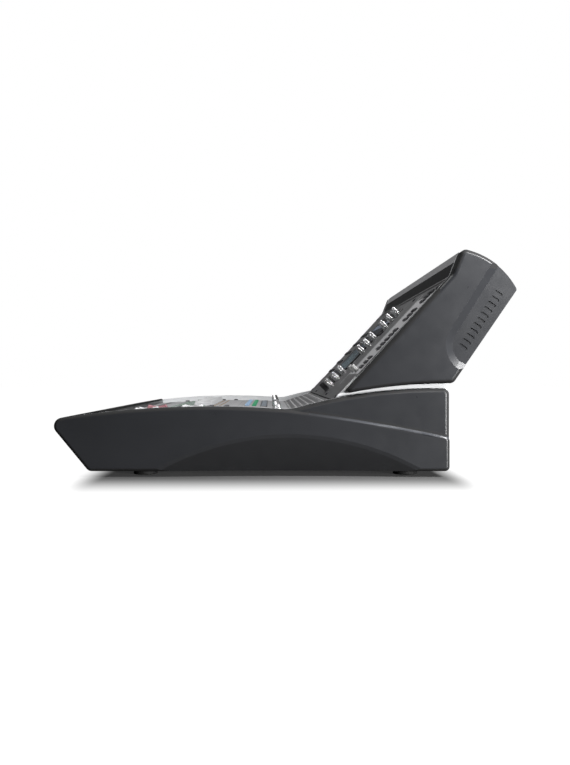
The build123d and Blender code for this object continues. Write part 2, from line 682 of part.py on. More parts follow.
with BuildPart() as power_rocker:
    tilt_plane = Plane(
        origin=(ROCKER_XZ[0] - ROCKER_WIDTH / 2, ROCKER_AXLE_Y, ROCKER_XZ[1]),
        x_dir=(0, cos(radians(-ROCKER_TILT)), sin(radians(-ROCKER_TILT))),
        z_dir=(1, 0, 0),
    )
    with BuildSketch(tilt_plane):
        with BuildLine():
            Polyline((7.2, -9.0), (5.6, 0.0), (7.2, 9.0), (1.0, 9.0), (-3.6, 3.0), (-3.6, -3.0), (1.0, -9.0), (7.2, -9.0))
        make_face()
    extrude(amount=ROCKER_WIDTH)
    with BuildSketch(tilt_plane.offset(-2.4)):
        Circle(AXLE_RADIUS)
    extrude(amount=ROCKER_WIDTH + 4.8)
save(power_rocker.part, "power_rocker")

# ---------------------------------------------------------------- fan
FAN_SHAFT_RADIUS = 1.5
FAN_HUB_RADIUS = 12.0
FAN_BLADES = 7
fan_face = rear_plane.offset(0.4)
with BuildPart() as fan_frame:
    with BuildSketch(fan_face):
        with Locations(FAN_XZ):
            RectangleRounded(FAN_SIZE, FAN_SIZE, 4)
            Circle(FAN_BORE, mode=Mode.SUBTRACT)
    extrude(amount=FAN_DEPTH)
    with BuildSketch(fan_face.offset(FAN_DEPTH - 3)):
        with Locations(FAN_XZ):
            Circle(FAN_HUB_RADIUS)
            with PolarLocations((FAN_HUB_RADIUS + FAN_BORE) / 2, 4):
                Rectangle(FAN_BORE - FAN_HUB_RADIUS + 2, 4)
    extrude(amount=3)
    with BuildSketch(fan_face.offset(4)):
        with Locations(FAN_XZ):
            Circle(FAN_SHAFT_RADIUS)
    extrude(amount=FAN_DEPTH - 5)
save(fan_frame.part, "fan_frame")

BLADE_PITCH = 35.0
with BuildPart() as fan_rotor:
    with BuildSketch(fan_face.offset(2)):
        with Locations(FAN_XZ):
            Circle(FAN_HUB_RADIUS)
    extrude(amount=13)
    for i in range(FAN_BLADES):
        angle = 360.0 / FAN_BLADES * i
        blade_plane = Plane(
            origin=(FAN_XZ[0], REAR_Y - 8.9, FAN_XZ[1]),
            x_dir=(0, 1, 0),
            z_dir=(cos(radians(angle)), 0, sin(radians(angle))),
        )
        with BuildSketch(blade_plane.offset(FAN_HUB_RADIUS - 1)):
            Rectangle(13.0, 1.4, rotation=BLADE_PITCH)
        extrude(amount=FAN_BORE - FAN_HUB_RADIUS - 0.5)
    with BuildSketch(fan_face.offset(3)):
        with Locations(FAN_XZ):
            Circle(FAN_SHAFT_RADIUS + RUNNING_CLEARANCE)
    extrude(amount=13, mode=Mode.SUBTRACT)
save(fan_rotor.part, "fan_rotor")

# ---------------------------------------------------------------- inside the desk and the pod
BOARD = 1.6
TRACK_WIDTH = 14.0
TRACK_TOP = -4.0
TRACK_HEIGHT = 18.0
with BuildPart() as fader_tracks:
    with BuildSketch(fader_plane.offset(TRACK_TOP)):
        with Locations(*[(x, 0) for x in STRIP_X]):
            Rectangle(TRACK_WIDTH, FADER_TRAVEL + 30)
    extrude(amount=-TRACK_HEIGHT)
    with BuildSketch(fader_plane.offset(TRACK_TOP)):
        with Locations(*[(x, 0) for x in STRIP_X]):
            Rectangle(FADER_SLOT_WIDTH, FADER_TRAVEL + STEM_LENGTH + 4)
    extrude(amount=-TRACK_HEIGHT + 4, mode=Mode.SUBTRACT)
save(fader_tracks.part, "fader_tracks")

SURFACE_BOARD_Z = 52.0
POD_BOARD_DEPTH = 26.0
ENCODER_TOP = -12.0
with BuildPart() as control_boards:
    with BuildSketch(Plane.XY.offset(SURFACE_BOARD_Z)):
        with Locations((0, -110)):
            Rectangle(600, 210)
    extrude(amount=BOARD)
    with BuildSketch(raked_plane.offset(-POD_BOARD_DEPTH)):
        with Locations((0, 110)):
            Rectangle(600, 170)
    extrude(amount=-BOARD)
    with BuildSketch(raked_plane.offset(ENCODER_TOP)):
        with Locations(*PANEL_KNOBS, *LEVEL_KNOBS):
            Rectangle(12, 12)
        with Locations(LARGE_KNOB):
            Rectangle(14, 14)
    extrude(amount=-(POD_BOARD_DEPTH + ENCODER_TOP))
save(control_boards.part, "control_boards")

MAIN_BOARD_Z = 20.0
MAIN_BOARD_CENTRE = (110.0, 90.0)
CHIPS = [(-90.0, 20.0, 27.0), (-30.0, 20.0, 27.0), (40.0, 30.0, 20.0), (-60.0, -40.0, 14.0), (20.0, -40.0, 14.0)]
with BuildPart() as main_board:
    with BuildSketch(Plane.XY.offset(MAIN_BOARD_Z)):
        with Locations(MAIN_BOARD_CENTRE):
            Rectangle(300, 170)
    extrude(amount=BOARD)
    with BuildSketch(Plane.XY.offset(MAIN_BOARD_Z + BOARD)):
        with Locations(MAIN_BOARD_CENTRE):
            for chip_x, chip_y, chip_size in CHIPS:
                with Locations((chip_x, chip_y)):
                    Rectangle(chip_size, chip_size)
    extrude(amount=2.4)
    with BuildSketch(Plane.XY.offset(FOOT_HEIGHT + SHEET)):
        with Locations(MAIN_BOARD_CENTRE):
            with GridLocations(143, 156, 3, 2):
                Circle(3.0)
    extrude(amount=MAIN_BOARD_Z - FOOT_HEIGHT - SHEET)
save(main_board.part, "main_board")

with BuildPart() as power_supply:
    with BuildSketch(Plane.XY.offset(FOOT_HEIGHT + SHEET)):
        with Locations((-190, 80)):
            Rectangle(180, 100)
    extrude(amount=40)
    fillet(power_supply.edges().filter_by(Axis.Z), 2)
    with BuildSketch(Plane.XY.offset(FOOT_HEIGHT + SHEET + 40)):
        with Locations((-190, 80)):
            with GridLocations(8, 30, 16, 2):
                SlotOverall(24, 3, rotation=90)
    extrude(amount=-1.5, mode=Mode.SUBTRACT)
save(power_supply.part, "power_supply")

# ---------------------------------------------------------------- faders
CAP_TOP = CAP_GAP + CAP_HEIGHT
CAP_HALF = CAP_LENGTH / 2
CAP_SLOPE = 3.5
CAP_LIP = CAP_GAP + 1.5


def cap_section(plane, rest):
    """Side of a saddle-backed cap whose middle rests this far along the travel."""
    with BuildSketch(plane) as section:
        with BuildLine():
            Polyline(
                (rest - CAP_HALF + CAP_SLOPE, CAP_TOP),
                (rest - CAP_HALF, CAP_LIP),
                (rest - CAP_HALF, CAP_GAP),
                (rest + CAP_HALF, CAP_GAP),
                (rest + CAP_HALF, CAP_LIP),
                (rest + CAP_HALF - CAP_SLOPE, CAP_TOP),
            )
            ThreePointArc(
                (rest + CAP_HALF - CAP_SLOPE, CAP_TOP),
                (rest, CAP_TOP - SADDLE_DEPTH),
                (rest - CAP_HALF + CAP_SLOPE, CAP_TOP),
            )
        make_face()
    return section.sketch


for number, x in enumerate(STRIP_X, start=1):
    rest = -HALF_STROKE if number in LOW_FADERS else MID_REST - HALF_STROKE
    cap_plane = Plane(
        origin=(x - CAP_WIDTH / 2, fader_plane.origin.Y, fader_plane.origin.Z),
        x_dir=(0, cos(FADER_TILT), sin(FADER_TILT)),
        z_dir=(1, 0, 0),
    )
    with BuildPart() as fader:
        extrude(cap_section(cap_plane, rest), amount=CAP_WIDTH)
        with BuildSketch(fader_plane.offset(CAP_GAP + 2)):
            with Locations((x, rest)):
                Rectangle(STEM_WIDTH, STEM_LENGTH)
        extrude(amount=-(CAP_GAP + 2 + 14))
    save(fader.part, f"fader_{number:02d}")

# ---------------------------------------------------------------- keys and knobs


def key_row(row_y, places_x):
    """Plan of one row of keys, at the keys' foot below the operating surface."""
    with BuildSketch(Plane.XY.offset(surface_z(row_y) - KEY_BELOW)) as keys:
        with Locations(*[(x, row_y) for x in places_x]):
            Rectangle(KEY_WIDTH, KEY_DEPTH)
    return keys.sketch


with BuildPart() as listen_keys:
    extrude(key_row(LISTEN_Y, STRIP_X), amount=KEY_BELOW + KEY_PROUD)
    fillet(listen_keys.faces().group_by(Axis.Z)[-1].edges(), 0.8)
save(listen_keys.part, "listen_keys")

with BuildPart() as select_keys:
    extrude(key_row(SELECT_Y, STRIP_X), amount=KEY_BELOW + KEY_PROUD)
    fillet(select_keys.faces(Select.LAST).group_by(Axis.Z)[-1].edges(), 0.8)
    for row in LAYER_KEY_Y:
        extrude(key_row(row, LAYER_KEY_X), amount=KEY_BELOW + KEY_PROUD)
        fillet(select_keys.faces(Select.LAST).group_by(Axis.Z)[-1].edges(), 0.8)
save(select_keys.part, "select_keys")

with BuildPart() as strip_knobs:
    strip_knob_plane = Plane.XY.offset(surface_z(STRIP_KNOB_Y))
    with BuildSketch(strip_knob_plane.offset(KNOB_GAP)):
        with Locations(*[(x, STRIP_KNOB_Y) for x in STRIP_X]):
            Circle(STRIP_KNOB_RADIUS)
    extrude(amount=STRIP_KNOB_HEIGHT)
    fillet(strip_knobs.faces().group_by(Axis.Z)[-1].edges(), 0.9)
    with BuildSketch(strip_knob_plane.offset(KNOB_GAP)):
        with Locations(*[(x, STRIP_KNOB_Y) for x in STRIP_X]):
            Circle(SHAFT_RADIUS)
    extrude(amount=-SHAFT_BELOW)
save(strip_knobs.part, "strip_knobs")


def raked_knob(place, radius, height, name):
    """One knob on its shaft, standing on the raked panel."""
    with BuildPart() as knob:
        with BuildSketch(raked_plane.offset(KNOB_GAP)):
            with Locations(place):
                Circle(radius)
        extrude(amount=height)
        fillet(knob.faces().sort_by(raked_normal)[-1].edges(), 0.9)
        with BuildSketch(raked_plane.offset(KNOB_GAP)):
            with Locations(place):
                Circle(SHAFT_RADIUS)
        extrude(amount=-SHAFT_BELOW)
    save(knob.part, name)


for number, place in enumerate(PANEL_KNOBS, start=1):
    raked_knob(place, PANEL_KNOB_RADIUS, PANEL_KNOB_HEIGHT, f"panel_knob_{number}")
for number, place in enumerate(LEVEL_KNOBS, start=1):
    raked_knob(place, LEVEL_KNOB_RADIUS, LEVEL_KNOB_HEIGHT, f"level_knob_{number}")
raked_knob(LARGE_KNOB, LARGE_KNOB_RADIUS, LARGE_KNOB_HEIGHT, "large_knob")

# ---------------------------------------------------------------- screws
with BuildPart() as screws:
    groups = (
        (outer_face, REAR_SCREWS, 1),
        (Plane.XY.offset(FOOT_HEIGHT), BASE_SCREWS, 1),
        (raked_plane, PANEL_SCREWS, -1),
        (cover_plane, COVER_SCREWS, -1),
    )
    for face, places, inward in groups:
        with BuildSketch(face):
            with Locations(*places):
                Circle(SCREW_HEAD_RADIUS)
        extrude(amount=-inward * SCREW_HEAD_HEIGHT)
        with BuildSketch(face):
            with Locations(*places):
                Circle(SCREW_RADIUS)
        extrude(amount=inward * SCREW_LENGTH)
save(screws.part, "screws")
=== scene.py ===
"""Looks of the mixing console: finishes for its CAD pieces, detailed controls, floor, lights and camera."""

import json
from math import cos, pi, radians, sin

import bpy
from bpy.props import FloatProperty, FloatVectorProperty, IntProperty, PointerProperty
from mathutils import Matrix, Vector


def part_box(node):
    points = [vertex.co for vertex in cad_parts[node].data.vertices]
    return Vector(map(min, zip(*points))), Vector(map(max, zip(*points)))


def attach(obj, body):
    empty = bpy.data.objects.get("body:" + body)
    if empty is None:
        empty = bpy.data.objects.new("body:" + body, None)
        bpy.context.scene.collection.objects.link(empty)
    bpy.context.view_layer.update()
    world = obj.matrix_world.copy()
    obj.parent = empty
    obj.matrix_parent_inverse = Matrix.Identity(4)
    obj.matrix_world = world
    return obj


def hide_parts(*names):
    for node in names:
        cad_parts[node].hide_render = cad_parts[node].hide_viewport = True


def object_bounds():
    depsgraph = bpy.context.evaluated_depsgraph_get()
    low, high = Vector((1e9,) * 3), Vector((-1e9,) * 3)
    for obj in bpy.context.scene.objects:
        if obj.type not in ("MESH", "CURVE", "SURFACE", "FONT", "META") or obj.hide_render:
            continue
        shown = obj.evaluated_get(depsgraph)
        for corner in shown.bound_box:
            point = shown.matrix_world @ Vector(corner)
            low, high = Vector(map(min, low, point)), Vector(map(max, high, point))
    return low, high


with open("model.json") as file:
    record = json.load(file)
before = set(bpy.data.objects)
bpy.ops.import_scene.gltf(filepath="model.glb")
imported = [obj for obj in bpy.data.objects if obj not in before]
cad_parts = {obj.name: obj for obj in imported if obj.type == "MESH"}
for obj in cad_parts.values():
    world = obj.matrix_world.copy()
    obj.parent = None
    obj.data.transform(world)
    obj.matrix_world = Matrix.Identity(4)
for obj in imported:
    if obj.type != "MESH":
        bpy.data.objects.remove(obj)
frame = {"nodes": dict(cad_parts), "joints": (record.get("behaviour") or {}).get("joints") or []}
CAD_BOX = [list(corner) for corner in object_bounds()]

bl_info = {
    "name": "Mixing Console Looks",
    "version": (1, 0, 0),
    "blender": (4, 5, 0),
    "location": "3D View > Sidebar > Console",
    "description": "Finishes, detailed controls and studio for a digital mixing console",
    "category": "Object",
}

MM = 0.001
JOINTS = {joint["child"]: joint for joint in frame["joints"]}
FADERS = sorted(name for name in frame["nodes"] if name.startswith("fader_") and name[6:].isdigit())
SMALL_KNOBS = sorted(name for name in frame["nodes"] if name.startswith(("panel_knob_", "level_knob_")))
RAKED_KNOBS = [*SMALL_KNOBS, "large_knob"]


def middle(node):
    """Centre of a CAD node's box at rest."""
    low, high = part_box(node)
    return (Vector(low) + Vector(high)) / 2


STRIP_X = [middle(name).x for name in FADERS]
FIRST_RIGHT_FADER = next(name for name, x in zip(FADERS, STRIP_X) if x > 0.15)
RAKE_AXIS = Vector(JOINTS["large_knob"]["axis"]).normalized()
SLIDE_AXIS = Vector(JOINTS[FADERS[0]]["axis"]).normalized()
UP_RAKE = RAKE_AXIS.cross(Vector((1, 0, 0)))
RAKE_FOOT = Vector(JOINTS["large_knob"]["pos_m"])
FALL_START = (0.006, 0.087)
LAYER_KEYS_END_Y = -0.055
RISE_START_Y = 0.0095
DISPLAY_Y = -0.0305
FIRST_LAMP_Y = -0.182
LAMP_PITCH = 0.0088
LAMP_ASIDE = 0.0115
FOOTPRINT_MIDDLE_Y = -0.015
FOOTPRINT_HALF_DEPTH = 0.215


# ------------------------------------------------------------------ settings


def colour(name, description, default):
    """A colour setting, in linear light."""
    return FloatVectorProperty(
        name=name, description=description, subtype="COLOR", size=3, min=0.0, max=1.0, default=default
    )


def length(name, description, default_mm):
    """A length setting, in metres."""
    return FloatProperty(name=name, description=description, unit="LENGTH", min=0.0, default=default_mm * MM)


def power(name, description, default):
    """A light's power setting, in watts."""
    return FloatProperty(name=name, description=description, min=0.0, default=default)


class FinishSettings(bpy.types.PropertyGroup):
    """Colours of the console's finishes."""

    cheek: colour("Cheek", "Grained moulding of the side cheeks", (0.0165, 0.0173, 0.0196))
    # Painted shade: the rim colour is the near-black painted on the cheeks' edges where the moulding turns
    # away.
    rim: colour("Rim", "Edges of the side cheeks, where the moulding turns", (0.003, 0.003, 0.0035))
    armrest: colour("Armrest", "Front armrest and brow bar", (0.006, 0.006, 0.0065))
    silver: colour("Silver", "Painted side frames", (0.84, 0.85, 0.86))
    light_panel: colour("Light panel", "Left part of the operating surface", (0.42, 0.42, 0.43))
    dark_panel: colour("Dark panel", "Right part of the surface and the raked panel", (0.105, 0.105, 0.108))
    legend: colour("Legend", "Printed lines and ticks", (0.78, 0.78, 0.80))
    cover: colour("Cover", "Pod cover above and behind", (0.40, 0.40, 0.41))
    key_blue: colour("Blue keys", "Listen keys", (0.30, 0.44, 0.62))
    key_green: colour("Green keys", "Select keys", (0.02, 0.30, 0.13))


class ControlSettings(bpy.types.PropertyGroup):
    """Sizes of the detailed controls."""

    knob_radius: length("Knob radius", "Radius of the small knobs", 5.2)
    knob_height: length("Knob height", "Height of the small knobs", 15.0)
    large_radius: length("Large knob radius", "Radius of the large knob", 9.0)
    level_radius: length("Level knob radius", "Radius of the white knobs", 3.9)
    level_height: length("Level knob height", "Height of the white knobs", 10.0)
    strip_radius: length("Strip knob radius", "Radius of the knobs at the head of the strips", 5.4)
    strip_height: length("Strip knob height", "Height of the knobs at the head of the strips", 13.0)
    knob_gap: length("Knob gap", "Gap between a knob and the panel", 0.6)
    shaft_below: length("Shaft below", "How far a shaft reaches below the knob", 10.0)
    shaft_radius: length("Shaft radius", "Radius of a knob's shaft", 3.0)
    cap_length: length("Cap length", "Length of a fader cap along its travel", 31.0)
    cap_width: length("Cap width", "Width of a fader cap", 11.5)
    cap_height: length("Cap height", "Height of a fader cap", 8.0)
    cap_gap: length("Cap gap", "Gap between a fader cap and the surface", 1.3)
    flutes: IntProperty(name="Flutes", description="Flutes round a small knob", default=11, min=6)


class StageSettings(bpy.types.PropertyGroup):
    """Camera and light."""

    camera_distance: length("Camera distance", "From the near cheek", 1076.0)
    camera_height: length("Camera height", "Above the floor", 129.0)
    key_power: power("Key power", "Soft light above the near rear corner", 18.0)
    fill_power: power("Fill power", "Low light from the rear near side", 78.0)
    top_power: power("Top power", "Large soft light overhead", 20.0)


# ------------------------------------------------------------------ shader maths


class Value:
    """A number socket that takes Python's operators."""

    def __init__(self, shader, socket):
        self.shader = shader
        self.socket = socket

    def maths(self, operation, *others):
        made = self.shader.node("ShaderNodeMath", {"operation": operation}, (self, *others))
        return Value(self.shader, made)

    def __add__(self, other):
        return self.maths("ADD", other)

    def __sub__(self, other):
        return self.maths("SUBTRACT", other)

    def __mul__(self, other):
        return self.maths("MULTIPLY", other)

    def __truediv__(self, other):
        return self.maths("DIVIDE", other)

    def __lt__(self, other):
        return self.maths("LESS_THAN", other)

    def __gt__(self, other):
        return self.maths("GREATER_THAN", other)

    def __abs__(self):
        return self.maths("ABSOLUTE")

    def __rsub__(self, other):
        return self * -1 + other

    __radd__ = __add__
    __rmul__ = __mul__

    def either(self, other):
        return self.maths("MAXIMUM", other)

    def repeat(self, pitch):
        """Signed distance to the nearest multiple of pitch."""
        return self.maths("WRAP", pitch / 2, -pitch / 2)

    def within(self, low, high):
        return (self > low) * (self < high)

    def ramp(self, low, high):
        """0 below low, 1 above high, smooth between."""
        settings = {"interpolation_type": "SMOOTHSTEP"}
        made = self.shader.node("ShaderNodeMapRange", settings, (self, low, high, 0.0, 1.0))
        return Value(self.shader, made)


class Shader:
    """A material with one Principled surface, built node by node."""

    def __init__(self, name, base, roughness, metallic=0.0, coat=0.0):
        self.material = bpy.data.materials.new(name)
        self.material.use_nodes = True
        self.tree = self.material.node_tree
        self.surface = self.tree.nodes["Principled BSDF"]
        self.surface.inputs["Base Color"].default_value = (*base, 1.0)
        self.surface.inputs["Roughness"].default_value = roughness
        self.surface.inputs["Metallic"].default_value = metallic
        self.surface.inputs["Coat Weight"].default_value = coat
        self.surface.inputs["Coat Roughness"].default_value = 0.12
        self.material.diffuse_color = (*base, 1.0)

    def node(self, kind, settings, sockets, output=0):
        """Add a node, set its settings, then its sockets by place or name, and give one output."""
        made = self.tree.nodes.new(kind)
        for key, setting in settings.items():
            setattr(made, key, setting)
        pairs = sockets.items() if isinstance(sockets, dict) else enumerate(sockets)
        for key, given in pairs:
            if isinstance(given, Value):
                given = given.socket
            if isinstance(given, bpy.types.NodeSocket):
                self.tree.links.new(given, made.inputs[key])
            else:
                made.inputs[key].default_value = given
        return made.outputs[output]

    def place(self):
        """x, y and z of the point, in metres, in the console's frame."""
        spot = self.node("ShaderNodeTexCoord", {}, {}, "Object")
        split = self.node("ShaderNodeSeparateXYZ", {}, (spot,))
        return [Value(self, output) for output in split.node.outputs]

    def noise(self, scale, detail=3.0, stretch=(1.0, 1.0, 1.0)):
        spot = self.node("ShaderNodeTexCoord", {}, {}, "Object")
        sized = self.node("ShaderNodeMapping", {}, {"Vector": spot, "Scale": stretch})
        sockets = {"Vector": sized, "Scale": scale, "Detail": detail}
        return Value(self, self.node("ShaderNodeTexNoise", {}, sockets))

    def blend(self, mask, first, second):
        """first where mask is 0, second where it is 1."""
        settings = {"data_type": "RGBA"}
        ends = [(*end, 1.0) if isinstance(end, (tuple, list)) else end for end in (first, second)]
        return self.node("ShaderNodeMix", settings, {0: mask, 6: ends[0], 7: ends[1]}, 2)

    def feed(self, name, given):
        self.tree.links.new(given.socket if isinstance(given, Value) else given, self.surface.inputs[name])

    def bump(self, height, strength, distance):
        sockets = {"Height": height, "Strength": strength, "Distance": distance}
        self.feed("Normal", self.node("ShaderNodeBump", {}, sockets))


def rgb(setting):
    return tuple(setting)


def tint(base, factor):
    return tuple(min(1.0, channel * factor) for channel in base)


# ------------------------------------------------------------------ finishes


def cheek_finish(base, rim):
    """Grained moulding with painted shade and light: near-black at its rims where it turns away, except
    along the falling line behind, which has a painted dark groove above and a painted highlight below, and
    painted shade in the desk's side recess.
    """
    shader = Shader("cheek", base, 0.4)
    x, y, z = shader.place()
    cloud = shader.noise(9.0, 2.0).ramp(0.3, 0.7)
    skin = shader.blend(cloud, tint(base, 0.92), tint(base, 1.08))
    facing = shader.node("ShaderNodeNewGeometry", {}, {}, "True Normal")
    split = shader.node("ShaderNodeSeparateXYZ", {}, (facing,))
    sideways = abs(Value(shader, split)).ramp(0.93, 0.99)
    upwards = Value(shader, split.node.outputs["Z"])
    # The falling line of the desk's raised body: where it starts, then its slope and how fast that grows.
    run = y - FALL_START[0]
    above = z - (FALL_START[1] - run * 0.1227 - run * run * 0.2185)
    # Painted shade: the hollow swept into the desk's side is painted darker than the skin round it, darkest
    # near the foot.
    shaded_hollow = (abs(x) < CAD_BOX[1][0] - 0.0012) * (above < -0.006) * (y < 0.19)
    skin = shader.blend(shaded_hollow * (0.62 - z * 4.0), skin, (0.0, 0.0, 0.0))
    # Painted highlight: a pale line, 3.2 times the skin's colour, just below the falling line.
    painted_edge_highlight = above.within(-0.0036, -0.0006) * y.ramp(0.02, 0.12)
    # Painted shade: a near-black groove line along the step of the falling line.
    groove = above.within(-0.0006, 0.0018) * (y > 0.03)
    # The falling line and the sloped wall of the pod's pocket are kept out of the painted rim shade, as pale
    # as the skin.
    inward = (y - 0.214) * 0.847 - (z - 0.193) * 0.531
    straight_wall = (inward < 0.014) * z.within(0.135, 0.27) * (y > 0.2)
    round_wall = (upwards > 0.0) * z.within(0.125, 0.2) * (y > 0.2)
    kept = (above.within(-0.0045, 0.0) * (y > 0.03)).either(straight_wall).either(round_wall)
    # Painted shade: the near-black rim colour is painted where the surface turns away from the side, and in
    # the groove.
    facing_out = sideways.either(kept) * (1 - groove)
    rim_shaded = shader.blend(facing_out, rim, skin)
    shader.feed("Base Color", shader.blend(painted_edge_highlight * 0.8, rim_shaded, tint(base, 3.2)))
    shader.feed("Roughness", shader.noise(60.0, 2.0) * 0.10 + 0.74 - facing_out * 0.49)
    shader.bump(shader.noise(1500.0, 2.0), 0.22, 0.00012)
    return shader.material


def grained(name, base, roughness, grain=0.25):
    """Moulded plastic with a fine grain."""
    shader = Shader(name, base, roughness)
    cloud = shader.noise(9.0, 2.0).ramp(0.3, 0.7)
    skin = shader.blend(cloud, tint(base, 0.92), tint(base, 1.08))
    shader.feed("Base Color", skin)
    shader.feed("Roughness", shader.noise(60.0, 2.0) * 0.14 + (roughness - 0.07))
    shader.bump(shader.noise(1500.0, 2.0), grain, 0.00015)
    return shader.material


def powder(name, base, roughness=0.55):
    """Powder-coated sheet with a fine orange peel."""
    shader = Shader(name, base, roughness)
    shader.feed("Base Color", shader.blend(shader.noise(14.0, 2.0), tint(base, 0.94), tint(base, 1.06)))
    shader.feed("Roughness", shader.noise(80.0, 2.0) * 0.16 + (roughness - 0.08))
    shader.bump(shader.noise(900.0, 2.0), 0.22, 0.00012)
    return shader.material


def metal(name, base, roughness, stretch=(1.0, 1.0, 1.0)):
    """Plated or turned metal with fine lines along one direction."""
    shader = Shader(name, base, roughness, metallic=0.95)
    lines = shader.noise(500.0, 2.0, stretch)
    shader.feed("Base Color", shader.blend(lines, tint(base, 0.85), tint(base, 1.1)))
    shader.feed("Roughness", lines * 0.2 + (roughness - 0.1))
    shader.bump(lines, 0.08, 0.0001)
    return shader.material


def brow_finish(base, line):
    """Black bar with a painted highlight: a pale line along the edge where it folds."""
    shader = Shader("brow_bar", base, 0.34)
    height = shader.place()[2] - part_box("brow_bar")[0][2]
    # Painted highlight: a pale line painted 8.5 mm up the bar, along the edge where it folds.
    bend_highlight = abs(height - 0.0085) < 0.0009
    mottled = shader.blend(shader.noise(9.0), base, tint(base, 1.5))
    shader.feed("Base Color", shader.blend(bend_highlight, mottled, line))
    shader.feed("Roughness", shader.noise(60.0, 2.0) * 0.14 + 0.27)
    shader.bump(shader.noise(1500.0, 2.0), 0.15, 0.00015)
    return shader.material


def silicone(name, base):
    """Soft key cap, faintly speckled."""
    shader = Shader(name, base, 0.42)
    shader.feed("Base Color", shader.blend(shader.noise(220.0, 2.0), tint(base, 0.9), tint(base, 1.1)))
    shader.feed("Roughness", shader.noise(400.0, 1.0) * 0.16 + 0.34)
    shader.bump(shader.noise(1800.0, 2.0), 0.1, 0.0001)
    return shader.material


def select_finish(base):
    """Green key caps in the row above the faders, and grey ones in the layer columns beside them."""
    shader = Shader("green_key", base, 0.42)
    beside = shader.place()[1] < LAYER_KEYS_END_Y
    speckle = shader.blend(shader.noise(220.0, 2.0), tint(base, 0.9), tint(base, 1.1))
    shader.feed("Base Color", shader.blend(beside, speckle, (0.07, 0.07, 0.075)))
    shader.feed("Roughness", shader.noise(400.0, 1.0) * 0.16 + 0.34)
    shader.bump(shader.noise(1800.0, 2.0), 0.1, 0.0001)
    return shader.material


def strip_masks(shader, first_x):
    """Printed masks of one bank: strip borders, fader ticks, name boxes and dashes up the rising strip."""
    x, y, _ = shader.place()
    pitch = STRIP_X[1] - STRIP_X[0]
    across = abs((x - first_x).repeat(pitch))
    border = (across > pitch / 2 - 0.0003) * y.within(-0.236, 0.008)
    scale_rows = (abs((y + 0.190).repeat(0.0125)) < 0.0003) * y.within(-0.192, -0.086)
    ticks = across.within(0.0045, 0.0085) * scale_rows
    label = (across < 0.0115) * y.within(-0.2275, -0.2145)
    inside = (across < 0.011) * y.within(-0.073, -0.067)
    frame_line = (across < 0.0118) * y.within(-0.0735, -0.0665) * (1 - inside)
    rising_rows = (abs((y - 0.012).repeat(0.0085)) < 0.0012) * y.within(0.010, 0.054)
    rising = (across < 0.0115) * rising_rows
    dashes = rising * ((x * 310.0).maths("SINE") > -0.2)
    rule = y.within(0.0565, 0.0575)
    return border, ticks.either(label).either(frame_line), dashes.either(rule)


def surface_finish(name, base, legend, line, rise, first_x):
    """Powder-coated operating surface with its printed legends, darker where it rises at the back."""
    shader = Shader(name, base, 0.5)
    border, print_mask, dashes = strip_masks(shader, first_x)
    mottled = shader.blend(shader.noise(14.0, 2.0), tint(base, 0.95), tint(base, 1.05))
    lined = shader.blend(border, mottled, line)
    printed = shader.blend(print_mask, lined, legend)
    behind = shader.place()[1] > RISE_START_Y
    darkened = shader.blend(behind, printed, rise)
    shader.feed("Base Color", shader.blend(dashes, darkened, (0.85, 0.85, 0.86)))
    shader.feed("Roughness", shader.noise(80.0, 2.0) * 0.16 + 0.42)
    shader.bump(shader.noise(900.0, 2.0), 0.2, 0.0001)
    return shader.material


def raked_finish(base, legend):
    """Raked panel: printed brackets round the knob column and a pale band for the soft keys."""
    shader = Shader("raked_panel", base, 0.5)
    x, y, z = shader.place()
    up = (y - RAKE_FOOT.y) * UP_RAKE.y + (z - RAKE_FOOT.z) * UP_RAKE.z
    column = abs(x - middle("panel_knob_1").x)
    outline = (column < 0.016) * (1 - (column < 0.0153)) * up.within(-0.002, 0.170)
    rules = (column < 0.016) * (abs((up - 0.050).repeat(0.053)) < 0.0005) * up.within(-0.002, 0.172)
    band = x.within(0.196, 0.314) * up.within(0.030, 0.176)
    band_edge = x.within(0.187, 0.191) * up.within(0.010, 0.190)
    from_screen = abs(x - middle("touch_screen").x)
    bezel = (from_screen < 0.1125) * (1 - (from_screen < 0.1117)) * up.within(-0.002, 0.186)
    key_rules = (x < -0.180) * (abs((x + 0.192).repeat(0.028)) < 0.0004) * up.within(0.03, 0.148)
    mottled = shader.blend(shader.noise(14.0, 2.0), tint(base, 0.94), tint(base, 1.06))
    banded = shader.blend(band, mottled, tint(legend, 0.8))
    lines = outline.either(rules).either(bezel).either(key_rules).either(band_edge)
    shader.feed("Base Color", shader.blend(lines, banded, legend))
    shader.feed("Roughness", shader.noise(80.0, 2.0) * 0.16 + 0.42)
    shader.bump(shader.noise(900.0, 2.0), 0.2, 0.0001)
    return shader.material


